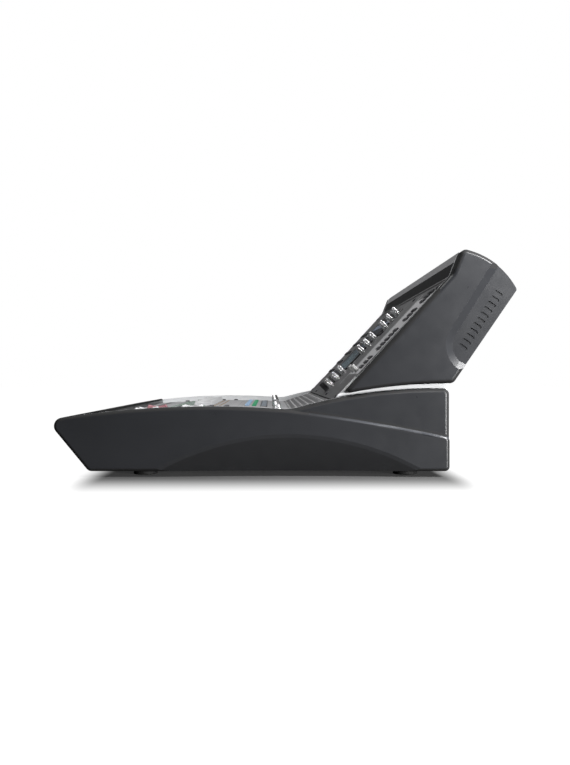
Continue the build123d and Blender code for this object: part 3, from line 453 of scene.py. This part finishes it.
def screen_finish():
    """Black glass with a lit picture of sixteen bar meters behind it."""
    shader = Shader("screen_glass", (0.006, 0.006, 0.008), 0.06, coat=0.6)
    x, _, z = shader.place()
    low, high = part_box("touch_screen")
    picture_width = 0.172
    left = middle("touch_screen").x - picture_width / 2
    up = (z - low[2]) / (high[2] - low[2])
    inside = x.within(left, left + picture_width) * up.within(0.14, 0.88)
    lane = (x - left) / (picture_width / len(FADERS))
    number = lane.maths("FLOOR")
    level = ((number * 12.9898).maths("SINE") * 43758.5).maths("FRACT") * 0.38 + 0.30
    offset = abs(lane.repeat(1.0))
    bar = (offset > 0.24) * (up < level) * up.within(0.2, 0.72) * (abs((up * 60.0).repeat(1.0)) < 0.36)
    head = (offset > 0.12) * up.within(0.77, 0.845)
    picture = shader.blend(inside, (0.0, 0.0, 0.0), (0.004, 0.010, 0.022))
    picture = shader.blend(bar * inside, picture, (0.30, 0.42, 0.48))
    picture = shader.blend(bar * inside * (up > 0.55), picture, (0.62, 0.55, 0.38))
    picture = shader.blend(head * inside, picture, (0.34, 0.40, 0.52))
    shader.feed("Emission Color", picture)
    shader.surface.inputs["Emission Strength"].default_value = 0.6
    shader.feed("Roughness", shader.noise(30.0, 2.0) * 0.06 + 0.04)
    return shader.material


def board_finish():
    """Green solder mask with copper tracks."""
    shader = Shader("circuit_board", (0.01, 0.09, 0.04), 0.4)
    x, y, _ = shader.place()
    tracks = (abs((x + y).repeat(0.004)) < 0.0004).either(abs((x - y).repeat(0.009)) < 0.0003)
    shader.feed("Base Color", shader.blend(tracks, (0.008, 0.085, 0.035), (0.03, 0.16, 0.07)))
    shader.feed("Roughness", shader.noise(90.0, 2.0) * 0.2 + 0.3)
    return shader.material


def knob_finish(name, base, roughness, metallic):
    """Fluted knob with a fine satin grain."""
    shader = Shader(name, base, roughness, metallic=metallic)
    grain = shader.noise(700.0, 2.0)
    shader.feed("Base Color", shader.blend(grain, tint(base, 0.86), tint(base, 1.08)))
    shader.feed("Roughness", grain * 0.14 + (roughness - 0.07))
    shader.bump(grain, 0.06, 0.0001)
    return shader.material


def lamp_finish(name, base, glow):
    """Small lit window."""
    shader = Shader(name, base, 0.3, coat=0.3)
    shader.feed("Base Color", shader.blend(shader.noise(300.0, 1.0), tint(base, 0.85), tint(base, 1.1)))
    shader.surface.inputs["Emission Color"].default_value = (*base, 1.0)
    shader.surface.inputs["Emission Strength"].default_value = glow
    return shader.material


def assign(material, *nodes):
    """Give CAD nodes a finish in their own slots."""
    for name in nodes:
        for slot in frame["nodes"][name].material_slots:
            slot.material = material


# ------------------------------------------------------------------ mesh helpers


def add_mesh(name, points, faces, material=None, smooth=True):
    """A new object at the origin from points and faces."""
    mesh = bpy.data.meshes.new(name)
    mesh.from_pydata([tuple(point) for point in points], [], faces)
    if material:
        mesh.materials.append(material)
    for face in mesh.polygons:
        face.use_smooth = smooth
    made = bpy.data.objects.new(name, mesh)
    bpy.context.scene.collection.objects.link(made)
    return made


def sharpen(piece, degrees=35.0):
    """Keep edges that turn by more than an angle crisp."""
    piece.data.set_sharp_from_angle(angle=radians(degrees))


def lathe(profile, around, flute=0.0, flutes=0, fluted=(0.0, 0.0)):
    """Points and faces turned about +Z from (radius, height) pairs, with flutes between two heights."""
    points, faces = [], []
    for radius, height in profile:
        for i in range(around):
            angle = 2 * pi * i / around
            wave = 0.5 - 0.5 * cos(flutes * angle) if flutes and fluted[0] < height < fluted[1] else 0.0
            reach = radius - flute * wave
            points.append(Vector((reach * cos(angle), reach * sin(angle), height)))
    for row in range(len(profile) - 1):
        for i in range(around):
            j = (i + 1) % around
            a, b = row * around, (row + 1) * around
            faces.append((a + i, a + j, b + j, b + i))
    faces.append(tuple(range(around - 1, -1, -1)))
    top = (len(profile) - 1) * around
    faces.append(tuple(top + i for i in range(around)))
    return points, faces


def box_points(low, high):
    """Eight corners and six outward faces of an upright block."""
    across, along, up = zip(low, high)
    points = [Vector((x, y, z)) for z in up for y in along for x in across]
    faces = [(0, 2, 3, 1), (4, 5, 7, 6), (0, 1, 5, 4), (2, 6, 7, 3), (0, 4, 6, 2), (1, 3, 7, 5)]
    return points, faces


def join_lists(*parts):
    """Several (points, faces) pairs as one."""
    points, faces = [], []
    for more_points, more_faces in parts:
        start = len(points)
        points += more_points
        faces += [tuple(start + index for index in face) for face in more_faces]
    return points, faces


def knob_shape(radius, height, shaft_radius, shaft_below, flutes):
    """A fluted knob on its shaft: foot at z = 0, a raised pointer line on its top."""
    step = radius * 0.06
    profile = [
        (shaft_radius, -shaft_below), (shaft_radius, 0.0), (radius, 0.0), (radius, 0.0012),
        (radius * 0.95, 0.0016), (radius * 0.95, 0.0030), (radius * 0.93, height * 0.5),
        (radius * 0.91, height - 0.0022), (radius * 0.91, height - 0.0018), (radius * 0.88, height - 0.0008),
        (radius * 0.80, height - 0.0003), (radius * 0.55, height - 0.0003 - step * 0.4),
        (radius * 0.50, height - 0.0003 - step),
    ]
    body = lathe(profile, flutes * 6, radius * 0.17, flutes, (0.0017, height - 0.0010))
    near, far = radius * 0.15, radius * 0.86
    pointer = box_points((near, -0.00035, height - 0.0015), (far, 0.00035, height - 0.00002))
    near, far = radius * 0.84, radius * 0.985
    stripe = box_points((near, -0.0004, 0.0040), (far, 0.0004, height - 0.0006))
    return body, join_lists(pointer, stripe)


def turned(points, matrix):
    return [matrix @ point for point in points]


def two_tone(name, body, trim, matrix, body_material, trim_material):
    """One piece from a body and its trim, each with its own finish."""
    points, faces = join_lists((turned(body[0], matrix), body[1]), (turned(trim[0], matrix), trim[1]))
    piece = add_mesh(name, points, faces, body_material)
    piece.data.materials.append(trim_material)
    for face in piece.data.polygons[len(body[1]):]:
        face.material_index = 1
    sharpen(piece)
    return piece


def standing(place, axis):
    """Matrix that stands a piece's +Z along an axis, with its +X kept across the console."""
    up = Vector(axis).normalized()
    side = Vector((1, 0, 0))
    forward = up.cross(side)
    turn = Matrix((side, forward, up)).transposed()
    return Matrix.Translation(Vector(place)) @ turn.to_4x4()


# ------------------------------------------------------------------ repeats


def repeat_tree():
    """Geometry Nodes: stand a piece on every point, turned, as one mesh."""
    tree = bpy.data.node_groups.new("repeat_piece", "GeometryNodeTree")
    for name, kind in (
        ("Points", "NodeSocketGeometry"),
        ("Piece", "NodeSocketObject"),
        ("Turn", "NodeSocketVector"),
        ("Finish", "NodeSocketMaterial"),
    ):
        tree.interface.new_socket(name, in_out="INPUT", socket_type=kind)
    tree.interface.new_socket("Geometry", in_out="OUTPUT", socket_type="NodeSocketGeometry")
    made = {}
    for key, kind in (
        ("start", "NodeGroupInput"),
        ("info", "GeometryNodeObjectInfo"),
        ("stand", "GeometryNodeInstanceOnPoints"),
        ("real", "GeometryNodeRealizeInstances"),
        ("paint", "GeometryNodeSetMaterial"),
        ("end", "NodeGroupOutput"),
    ):
        made[key] = tree.nodes.new(kind)
    links = (
        ("start", "Piece", "info", "Object"),
        ("start", "Points", "stand", "Points"),
        ("info", "Geometry", "stand", "Instance"),
        ("start", "Turn", "stand", "Rotation"),
        ("stand", "Instances", "real", "Geometry"),
        ("real", "Geometry", "paint", "Geometry"),
        ("start", "Finish", "paint", "Material"),
        ("paint", "Geometry", "end", "Geometry"),
    )
    for source, output, target, socket in links:
        tree.links.new(made[source].outputs[output], made[target].inputs[socket])
    return tree


def repeated(name, shape, places, turn, material):
    """One plain mesh of a shape repeated at places, made with the repeat tree."""
    tree = bpy.data.node_groups.get("repeat_piece") or repeat_tree()
    source = add_mesh(name + "_source", *shape)
    sharpen(source)
    points = add_mesh(name + "_points", places, [])
    modifier = points.modifiers.new("repeat", "NODES")
    modifier.node_group = tree
    inputs = {item.name: item.identifier for item in tree.interface.items_tree if item.in_out == "INPUT"}
    modifier[inputs["Piece"]] = source
    modifier[inputs["Turn"]] = turn
    modifier[inputs["Finish"]] = material
    bpy.context.view_layer.update()
    graph = bpy.context.evaluated_depsgraph_get()
    mesh = bpy.data.meshes.new_from_object(points.evaluated_get(graph))
    mesh.name = name
    piece = bpy.data.objects.new(name, mesh)
    bpy.context.scene.collection.objects.link(piece)
    for spare in (points, source):
        bpy.data.objects.remove(spare)
    return piece


# ------------------------------------------------------------------ operators


class CONSOLE_OT_finishes(bpy.types.Operator):
    """Give every CAD piece of the console its finish"""

    bl_idname = "console.finishes"
    bl_label = "Finishes"

    def execute(self, context):
        finish = context.scene.console_finish
        # The cheeks' rim colour is painted shade on their turned edges.
        cheek = cheek_finish(rgb(finish.cheek), rgb(finish.rim))
        assign(cheek, "left_lower_cheek", "right_lower_cheek", "left_upper_cheek", "right_upper_cheek")
        assign(grained("armrest", rgb(finish.armrest), 0.34, 0.15), "armrest")
        # The brow bar's second colour is its painted highlight along the fold.
        assign(brow_finish(tint(rgb(finish.armrest), 2.5), tint(rgb(finish.legend), 0.4)), "brow_bar")
        assign(powder("silver_frame", rgb(finish.silver), 0.36), "left_side_frame", "right_side_frame")
        assign(powder("pod_cover", rgb(finish.cover), 0.5), "pod_rear_cover")
        assign(powder("black_sheet", (0.03, 0.03, 0.032), 0.5), "base_plate", "rear_panel")
        light, dark = rgb(finish.light_panel), rgb(finish.dark_panel)
        ink, border, rise = (0.05, 0.05, 0.055), (0.12, 0.12, 0.125), tint(dark, 1.6)
        assign(surface_finish("light_panel", light, ink, border, rise, STRIP_X[0]), "left_surface_panel")
        ink, border = rgb(finish.legend), (0.25, 0.25, 0.26)
        assign(surface_finish("dark_panel", dark, ink, border, rise, STRIP_X[-1]), "right_surface_panel")
        assign(raked_finish(tint(dark, 1.5), rgb(finish.legend)), "control_panel")
        assign(screen_finish(), "touch_screen")
        assign(board_finish(), "control_boards", "main_board")
        assign(metal("zinc_plate", (0.55, 0.55, 0.53), 0.4), "fader_tracks", "power_supply", "screen_module")
        assign(metal("nickel", (0.6, 0.59, 0.56), 0.3), "data_sockets")
        assign(grained("socket_nylon", (0.012, 0.012, 0.012), 0.4, 0.1), "xlr_sockets", "mains_inlet")
        fan_plastic = grained("fan_plastic", (0.014, 0.014, 0.014), 0.45, 0.1)
        assign(fan_plastic, "fan_frame", "fan_rotor", "power_rocker")
        assign(grained("foot_rubber", (0.006, 0.006, 0.006), 0.75, 0.4), "feet")
        assign(silicone("blue_key", rgb(finish.key_blue)), "listen_keys")
        assign(select_finish(rgb(finish.key_green)), "select_keys")
        assign(silicone("grey_key", (0.05, 0.05, 0.055)), "panel_keys")
        return {"FINISHED"}


class CONSOLE_OT_fader_caps(bpy.types.Operator):
    """Model the fader caps, each on its own sliding body"""

    bl_idname = "console.fader_caps"
    bl_label = "Fader Caps"

    def cap_shape(self, size):
        """Saddle-backed cap with fine grip ribs: a section along the travel, swept across."""
        half, top, base = size.cap_length / 2, size.cap_gap + size.cap_height, size.cap_gap
        across, along = 9, 41
        points, faces = [], []
        for i in range(along):
            f = 2 * i / (along - 1) - 1
            t = f * half
            saddle = 0.0024 * (1 - min(1.0, abs(f) / 0.77) ** 2)
            rib = 0.00028 * (0.5 + 0.5 * cos(2 * pi * t / 0.0022)) if 0.10 < abs(f) < 0.72 else 0.0
            groove = 0.0009 if abs(f) < 0.035 else 0.0
            slope = max(0.0, (abs(f) - 0.77) / 0.23)
            height = top - saddle - rib - groove - (size.cap_height - 0.0012) * slope ** 1.6
            for j in range(across):
                g = 2 * j / (across - 1) - 1
                edge = max(0.0, (abs(g) - 0.7) / 0.3)
                drop = 0.0009 * edge ** 2
                points.append(Vector((g * size.cap_width / 2, t, height - drop)))
        for i in range(along - 1):
            for j in range(across - 1):
                a = i * across + j
                faces.append((a, a + 1, a + across + 1, a + across))
        rim = [j for j in range(across)] + [i * across + across - 1 for i in range(1, along)]
        rim += [(along - 1) * across + j for j in range(across - 2, -1, -1)]
        rim += [i * across for i in range(along - 2, 0, -1)]
        start = len(points)
        for index in rim:
            points.append(Vector((points[index].x, points[index].y, base)))
        for k in range(len(rim)):
            m = (k + 1) % len(rim)
            faces.append((rim[m], rim[k], start + k, start + m))
        faces.append(tuple(start + k for k in range(len(rim) - 1, -1, -1)))
        return points, faces

    def execute(self, context):
        size = context.scene.console_controls
        light = self.cap_finish("fader_cap", (0.62, 0.62, 0.63))
        red = self.cap_finish("fader_cap_red", (0.34, 0.16, 0.18))
        line = Shader("fader_line", (0.02, 0.02, 0.02), 0.4)
        line.feed("Roughness", line.noise(200.0, 1.0) * 0.2 + 0.3)
        stem = metal("fader_stem", (0.5, 0.5, 0.5), 0.3)
        body = self.cap_shape(size)
        top = size.cap_gap + size.cap_height
        reach = size.cap_width * 0.42
        mark = box_points((-reach, -0.00035, top - 0.0045), (reach, 0.00035, top - 0.0036))
        leg = box_points((-0.0012, -0.003, -0.014), (0.0012, 0.003, size.cap_gap + 0.0002))
        normal = Vector((1, 0, 0)).cross(SLIDE_AXIS)
        for name in FADERS:
            centre = middle(name)
            foot = centre + normal * (self.crest(name, normal) - normal.dot(centre) - top)
            matrix = standing(foot, normal)
            cap = red if name == FIRST_RIGHT_FADER else light
            piece = two_tone(name + "_cap", body, join_lists(mark, leg), matrix, cap, line.material)
            piece.data.materials.append(stem)
            for face in piece.data.polygons[-len(leg[1]):]:
                face.material_index = 2
            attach(piece, name)
            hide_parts(name)
        return {"FINISHED"}

    def cap_finish(self, name, base):
        """Satin moulding, faintly mottled."""
        cap = Shader(name, base, 0.3, coat=0.2)
        cap.feed("Base Color", cap.blend(cap.noise(260.0, 2.0), tint(base, 0.9), tint(base, 1.12)))
        cap.feed("Roughness", cap.noise(120.0, 2.0) * 0.14 + 0.24)
        return cap.material

    def crest(self, name, normal):
        """How far the CAD cap reaches along its upward normal."""
        return max(normal.dot(vertex.co) for vertex in frame["nodes"][name].data.vertices)


class CONSOLE_OT_raked_knobs(bpy.types.Operator):
    """Model the knobs of the raked panel, each on its own turning body"""

    bl_idname = "console.raked_knobs"
    bl_label = "Raked Knobs"

    def execute(self, context):
        size = context.scene.console_controls
        silver = knob_finish("knob_silver", (0.60, 0.60, 0.61), 0.28, 0.85)
        white = knob_finish("knob_white", (0.72, 0.72, 0.71), 0.35, 0.0)
        dark = knob_finish("knob_dark", (0.16, 0.16, 0.165), 0.32, 0.5)
        pale = lamp_finish("pointer_white", (0.85, 0.85, 0.85), 0.0)
        black = lamp_finish("pointer_black", (0.03, 0.03, 0.03), 0.0)
        for name in RAKED_KNOBS:
            radius, height, flutes = size.knob_radius, size.knob_height, size.flutes
            finish, pointer, slot = silver, black, "knob_silver"
            if name.startswith("level"):
                radius, height = size.level_radius, size.level_height
                finish, slot = white, "knob_white"
            if name == "large_knob":
                radius, flutes = size.large_radius, size.flutes * 2
                finish, pointer, slot = dark, pale, "knob_dark"
            body, trim = knob_shape(radius, height, size.shaft_radius, size.shaft_below, flutes)
            place = Vector(JOINTS[name]["pos_m"]) + RAKE_AXIS * size.knob_gap
            matrix = standing(place, RAKE_AXIS) @ Matrix.Rotation(pi / 2, 4, "Z")
            piece = two_tone(name + "_turned", body, trim, matrix, finish, pointer)
            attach(piece, name)
            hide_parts(name)
        return {"FINISHED"}


class CONSOLE_OT_strip_knobs(bpy.types.Operator):
    """Repeat the knob at the head of every channel strip"""

    bl_idname = "console.strip_knobs"
    bl_label = "Strip Knobs"

    def execute(self, context):
        size = context.scene.console_controls
        low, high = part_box("strip_knobs")
        foot = high[2] - size.strip_height
        body, trim = knob_shape(
            size.strip_radius, size.strip_height, size.shaft_radius, size.shaft_below, size.flutes
        )
        places = [Vector((x, (low[1] + high[1]) / 2, foot)) for x in STRIP_X]
        chrome = knob_finish("strip_knob_bright", (0.78, 0.78, 0.79), 0.22, 0.8)
        knobs = repeated("strip_knobs_turned", body, places, (0.0, 0.0, 0.0), chrome)
        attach(knobs, "console")
        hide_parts("strip_knobs")
        black = lamp_finish("strip_pointer", (0.03, 0.03, 0.03), 0.0)
        pointers = repeated("strip_knob_pointers", trim, places, (0.0, 0.0, pi / 2), black)
        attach(pointers, "console")
        return {"FINISHED"}


class CONSOLE_OT_strip_displays(bpy.types.Operator):
    """Repeat the name display and the level lights of every channel strip"""

    bl_idname = "console.strip_displays"
    bl_label = "Strip Displays"

    def surface(self, y):
        """Height of the operating surface at y, measured on the CAD sheet."""
        sheet = frame["nodes"]["right_surface_panel"].data
        near = [vertex.co for vertex in sheet.vertices if abs(vertex.co.y - y) < 0.012]
        return max(point.z for point in near)

    def execute(self, context):
        places = [Vector((x, DISPLAY_Y, self.surface(DISPLAY_Y) - 0.0004)) for x in STRIP_X]
        window = box_points((-0.0115, -0.0045, -0.0006), (0.0115, 0.0045, 0.0011))
        glass = lamp_finish("display_window", (0.55, 0.62, 0.70), 0.35)
        display = repeated("strip_displays", window, places, (0.0, 0.0, 0.0), glass)
        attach(display, "console")
        ring = join_lists(
            box_points((-0.0127, -0.0057, -0.0006), (0.0127, -0.0045, 0.0014)),
            box_points((-0.0127, 0.0045, -0.0006), (0.0127, 0.0057, 0.0014)),
            box_points((-0.0127, -0.0045, -0.0006), (-0.0115, 0.0045, 0.0014)),
            box_points((0.0115, -0.0045, -0.0006), (0.0127, 0.0045, 0.0014)),
        )
        black = grained("display_bezel", (0.01, 0.01, 0.01), 0.35, 0.1)
        bezels = repeated("strip_display_bezels", ring, places, (0.0, 0.0, 0.0), black)
        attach(bezels, "console")
        lamp = box_points((-0.0007, -0.0014, -0.0006), (0.0007, 0.0014, 0.0005))
        lamps = (("green", 8, 0, (0.03, 0.20, 0.08)), ("amber", 2, 8, (0.32, 0.17, 0.03)))
        for name, count, first, tone in lamps:
            rows = [(x, FIRST_LAMP_Y + LAMP_PITCH * (first + k)) for x in STRIP_X for k in range(count)]
            spots = [Vector((x + LAMP_ASIDE, y, self.surface(y))) for x, y in rows]
            glow = lamp_finish("level_" + name, tone, 0.05)
            lights = repeated("level_lights_" + name, lamp, spots, (0.0, 0.0, 0.0), glow)
            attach(lights, "console")
        return {"FINISHED"}


class CONSOLE_OT_screws(bpy.types.Operator):
    """Repeat the pan-head screws on the panels"""

    bl_idname = "console.screws"
    bl_label = "Screws"
    head_radius = 0.0036
    head_height = 0.0018
    shank_radius = 0.0020
    shank_length = 0.0058

    def screw_shape(self, radius, height):
        """Domed head with a round driver recess, on a short shank."""
        profile = [
            (self.shank_radius, -self.shank_length), (self.shank_radius, 0.0), (radius, 0.0),
            (radius, height * 0.45), (radius * 0.9, height * 0.75), (radius * 0.66, height * 0.93),
            (radius * 0.34, height * 0.98), (radius * 0.16, height * 0.5),
        ]
        return lathe(profile, around=16)

    def execute(self, context):
        steel = metal("screw_steel", (0.16, 0.16, 0.17), 0.3)
        shape = self.screw_shape(self.head_radius, self.head_height)
        groups = {}
        for centre, normal in self.heads(frame["nodes"]["screws"].data):
            key = tuple(round(part, 2) for part in normal)
            groups.setdefault(key, []).append(centre)
        pieces = []
        for key, places in sorted(groups.items()):
            turn = Vector((0, 0, 1)).rotation_difference(Vector(key)).to_euler()
            pieces.append(repeated(f"screws_{len(pieces) + 1}", shape, places, tuple(turn), steel))
        for piece in pieces:
            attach(piece, "console")
        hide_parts("screws")
        return {"FINISHED"}

    def heads(self, mesh):
        """Foot centre and outward normal of every head, found from the mesh's loose parts."""
        joined = {}
        spots = {}
        for vertex in mesh.vertices:
            spots.setdefault(tuple(round(part, 5) for part in vertex.co), []).append(vertex.index)
        first = {index: indices[0] for indices in spots.values() for index in indices}

        def find(index):
            while joined.get(index, index) != index:
                index = joined[index]
            return index

        for face in mesh.polygons:
            corners = [find(first[index]) for index in face.vertices]
            for corner in corners[1:]:
                joined[find(corner)] = find(corners[0])
        parts = {}
        for indices in spots.values():
            parts.setdefault(find(indices[0]), []).append(mesh.vertices[indices[0]].co.copy())
        for points in parts.values():
            centre = sum(points, Vector()) / len(points)
            options = [Vector((0, 1, 0)), Vector((0, 0, -1)), RAKE_AXIS, self.cover_normal()]
            normal = min(options, key=lambda axis: self.spread(points, axis))
            foot = max(normal.dot(point) for point in points) - self.head_height
            yield centre + normal * (foot - normal.dot(centre)), normal

    def spread(self, points, axis):
        """A screw is thinnest seen along its own axis."""
        flat = [point - axis * axis.dot(point) for point in points]
        middle_point = sum(flat, Vector()) / len(flat)
        return max((point - middle_point).length for point in flat)

    def cover_normal(self):
        """Outward normal of the pod cover's flat back, from its largest face."""
        faces = frame["nodes"]["pod_rear_cover"].data.polygons
        backs = [face for face in faces if face.normal.y > 0.2 and face.normal.z < -0.2]
        return max(backs, key=lambda face: face.area).normal.normalized()


class CONSOLE_OT_stage(bpy.types.Operator):
    """Floor, lights and camera"""

    bl_idname = "console.stage"
    bl_label = "Stage"

    def area_light(self, name, place, target, size, power):
        lamp = bpy.data.lights.new(name, "AREA")
        lamp.shape = "RECTANGLE"
        lamp.size, lamp.size_y = size
        lamp.energy = power
        light = bpy.data.objects.new(name, lamp)
        light.location = place
        light.rotation_euler = (Vector(target) - Vector(place)).to_track_quat("-Z", "Y").to_euler()
        bpy.context.scene.collection.objects.link(light)

    def execute(self, context):
        stage = context.scene.console_stage
        floor = Shader("studio_floor", (0.07, 0.07, 0.07), 0.9)
        # Painted shadow: the floor glows for the camera only, dark under the desk and white past its
        # footprint, sooner in front and behind than aside.
        x, y, _ = floor.place()
        aside = (abs(x) - CAD_BOX[1][0]).either(0.0)
        beyond = (abs(y - FOOTPRINT_MIDDLE_Y) - FOOTPRINT_HALF_DEPTH).either(0.0) * 4.0
        apart = (aside * aside + beyond * beyond).maths("POWER", 0.5).ramp(0.0, 0.18)
        shown = Value(floor, floor.node("ShaderNodeLightPath", {}, {}, "Is Camera Ray"))
        lit = (apart * 0.97 + 0.03) * shown
        floor.feed("Emission Color", floor.blend(lit, (0.0, 0.0, 0.0), (1.0, 1.0, 1.0)))
        floor.surface.inputs["Emission Strength"].default_value = 1.0
        corners = [(-9, -9, 0), (9, -9, 0), (9, 9, 0), (-9, 9, 0)]
        add_mesh("floor", corners, [(0, 1, 2, 3)], floor.material)
        world = bpy.data.worlds.new("studio")
        context.scene.world = world
        world.use_nodes = True
        nodes, links = world.node_tree.nodes, world.node_tree.links
        white = nodes.new("ShaderNodeBackground")
        white.inputs["Color"].default_value = (1.0, 1.0, 1.0, 1.0)
        white.inputs["Strength"].default_value = 1.0
        dim = nodes["Background"]
        dim.inputs["Color"].default_value = (1.0, 1.0, 1.0, 1.0)
        dim.inputs["Strength"].default_value = 0.05
        ray = nodes.new("ShaderNodeLightPath")
        pick = nodes.new("ShaderNodeMixShader")
        links.new(ray.outputs["Is Camera Ray"], pick.inputs[0])
        links.new(dim.outputs[0], pick.inputs[1])
        links.new(white.outputs[0], pick.inputs[2])
        links.new(pick.outputs[0], nodes["World Output"].inputs[0])
        self.area_light("key", (0.74, 0.66, 0.62), (0.34, 0.26, 0.22), (0.34, 0.34), stage.key_power)
        self.area_light("fill", (2.05, 1.85, 0.2), (0.3, 0.15, 0.1), (1.0, 0.3), stage.fill_power)
        self.area_light("top", (-0.1, -0.25, 1.8), (0.0, 0.0, 0.0), (1.6, 1.2), stage.top_power)
        low, high = CAD_BOX
        camera = bpy.data.cameras.new("camera")
        camera.lens = 39.25
        camera.sensor_width = 36.0
        camera.shift_x = 0.0196
        camera.shift_y = -0.0065
        camera.clip_start = 0.02
        view = bpy.data.objects.new("camera", camera)
        view.location = (high[0] + stage.camera_distance, -0.020, stage.camera_height)
        view.rotation_euler = (pi / 2, 0.0, pi / 2)
        context.scene.collection.objects.link(view)
        context.scene.camera = view
        context.scene.view_settings.view_transform = "Standard"
        return {"FINISHED"}


class CONSOLE_PT_panel(bpy.types.Panel):
    """Console tools in the sidebar"""

    bl_label = "Console"
    bl_space_type = "VIEW_3D"
    bl_region_type = "UI"
    bl_category = "Console"

    def draw(self, context):
        for operator in OPERATORS:
            self.layout.operator(operator.bl_idname)


OPERATORS = (
    CONSOLE_OT_stage,
    CONSOLE_OT_finishes,
    CONSOLE_OT_fader_caps,
    CONSOLE_OT_raked_knobs,
    CONSOLE_OT_strip_knobs,
    CONSOLE_OT_strip_displays,
    CONSOLE_OT_screws,
)
CLASSES = (FinishSettings, ControlSettings, StageSettings, *OPERATORS, CONSOLE_PT_panel)


def register():
    for item in CLASSES:
        bpy.utils.register_class(item)
    bpy.types.Scene.console_finish = PointerProperty(type=FinishSettings)
    bpy.types.Scene.console_controls = PointerProperty(type=ControlSettings)
    bpy.types.Scene.console_stage = PointerProperty(type=StageSettings)


def unregister():
    del bpy.types.Scene.console_finish
    del bpy.types.Scene.console_controls
    del bpy.types.Scene.console_stage
    for item in reversed(CLASSES):
        bpy.utils.unregister_class(item)


def main():
    """Build the whole scene."""
    register()
    for operator in OPERATORS:
        space, name = operator.bl_idname.split(".")
        getattr(getattr(bpy.ops, space), name)()


if __name__ == "__main__":
    main()
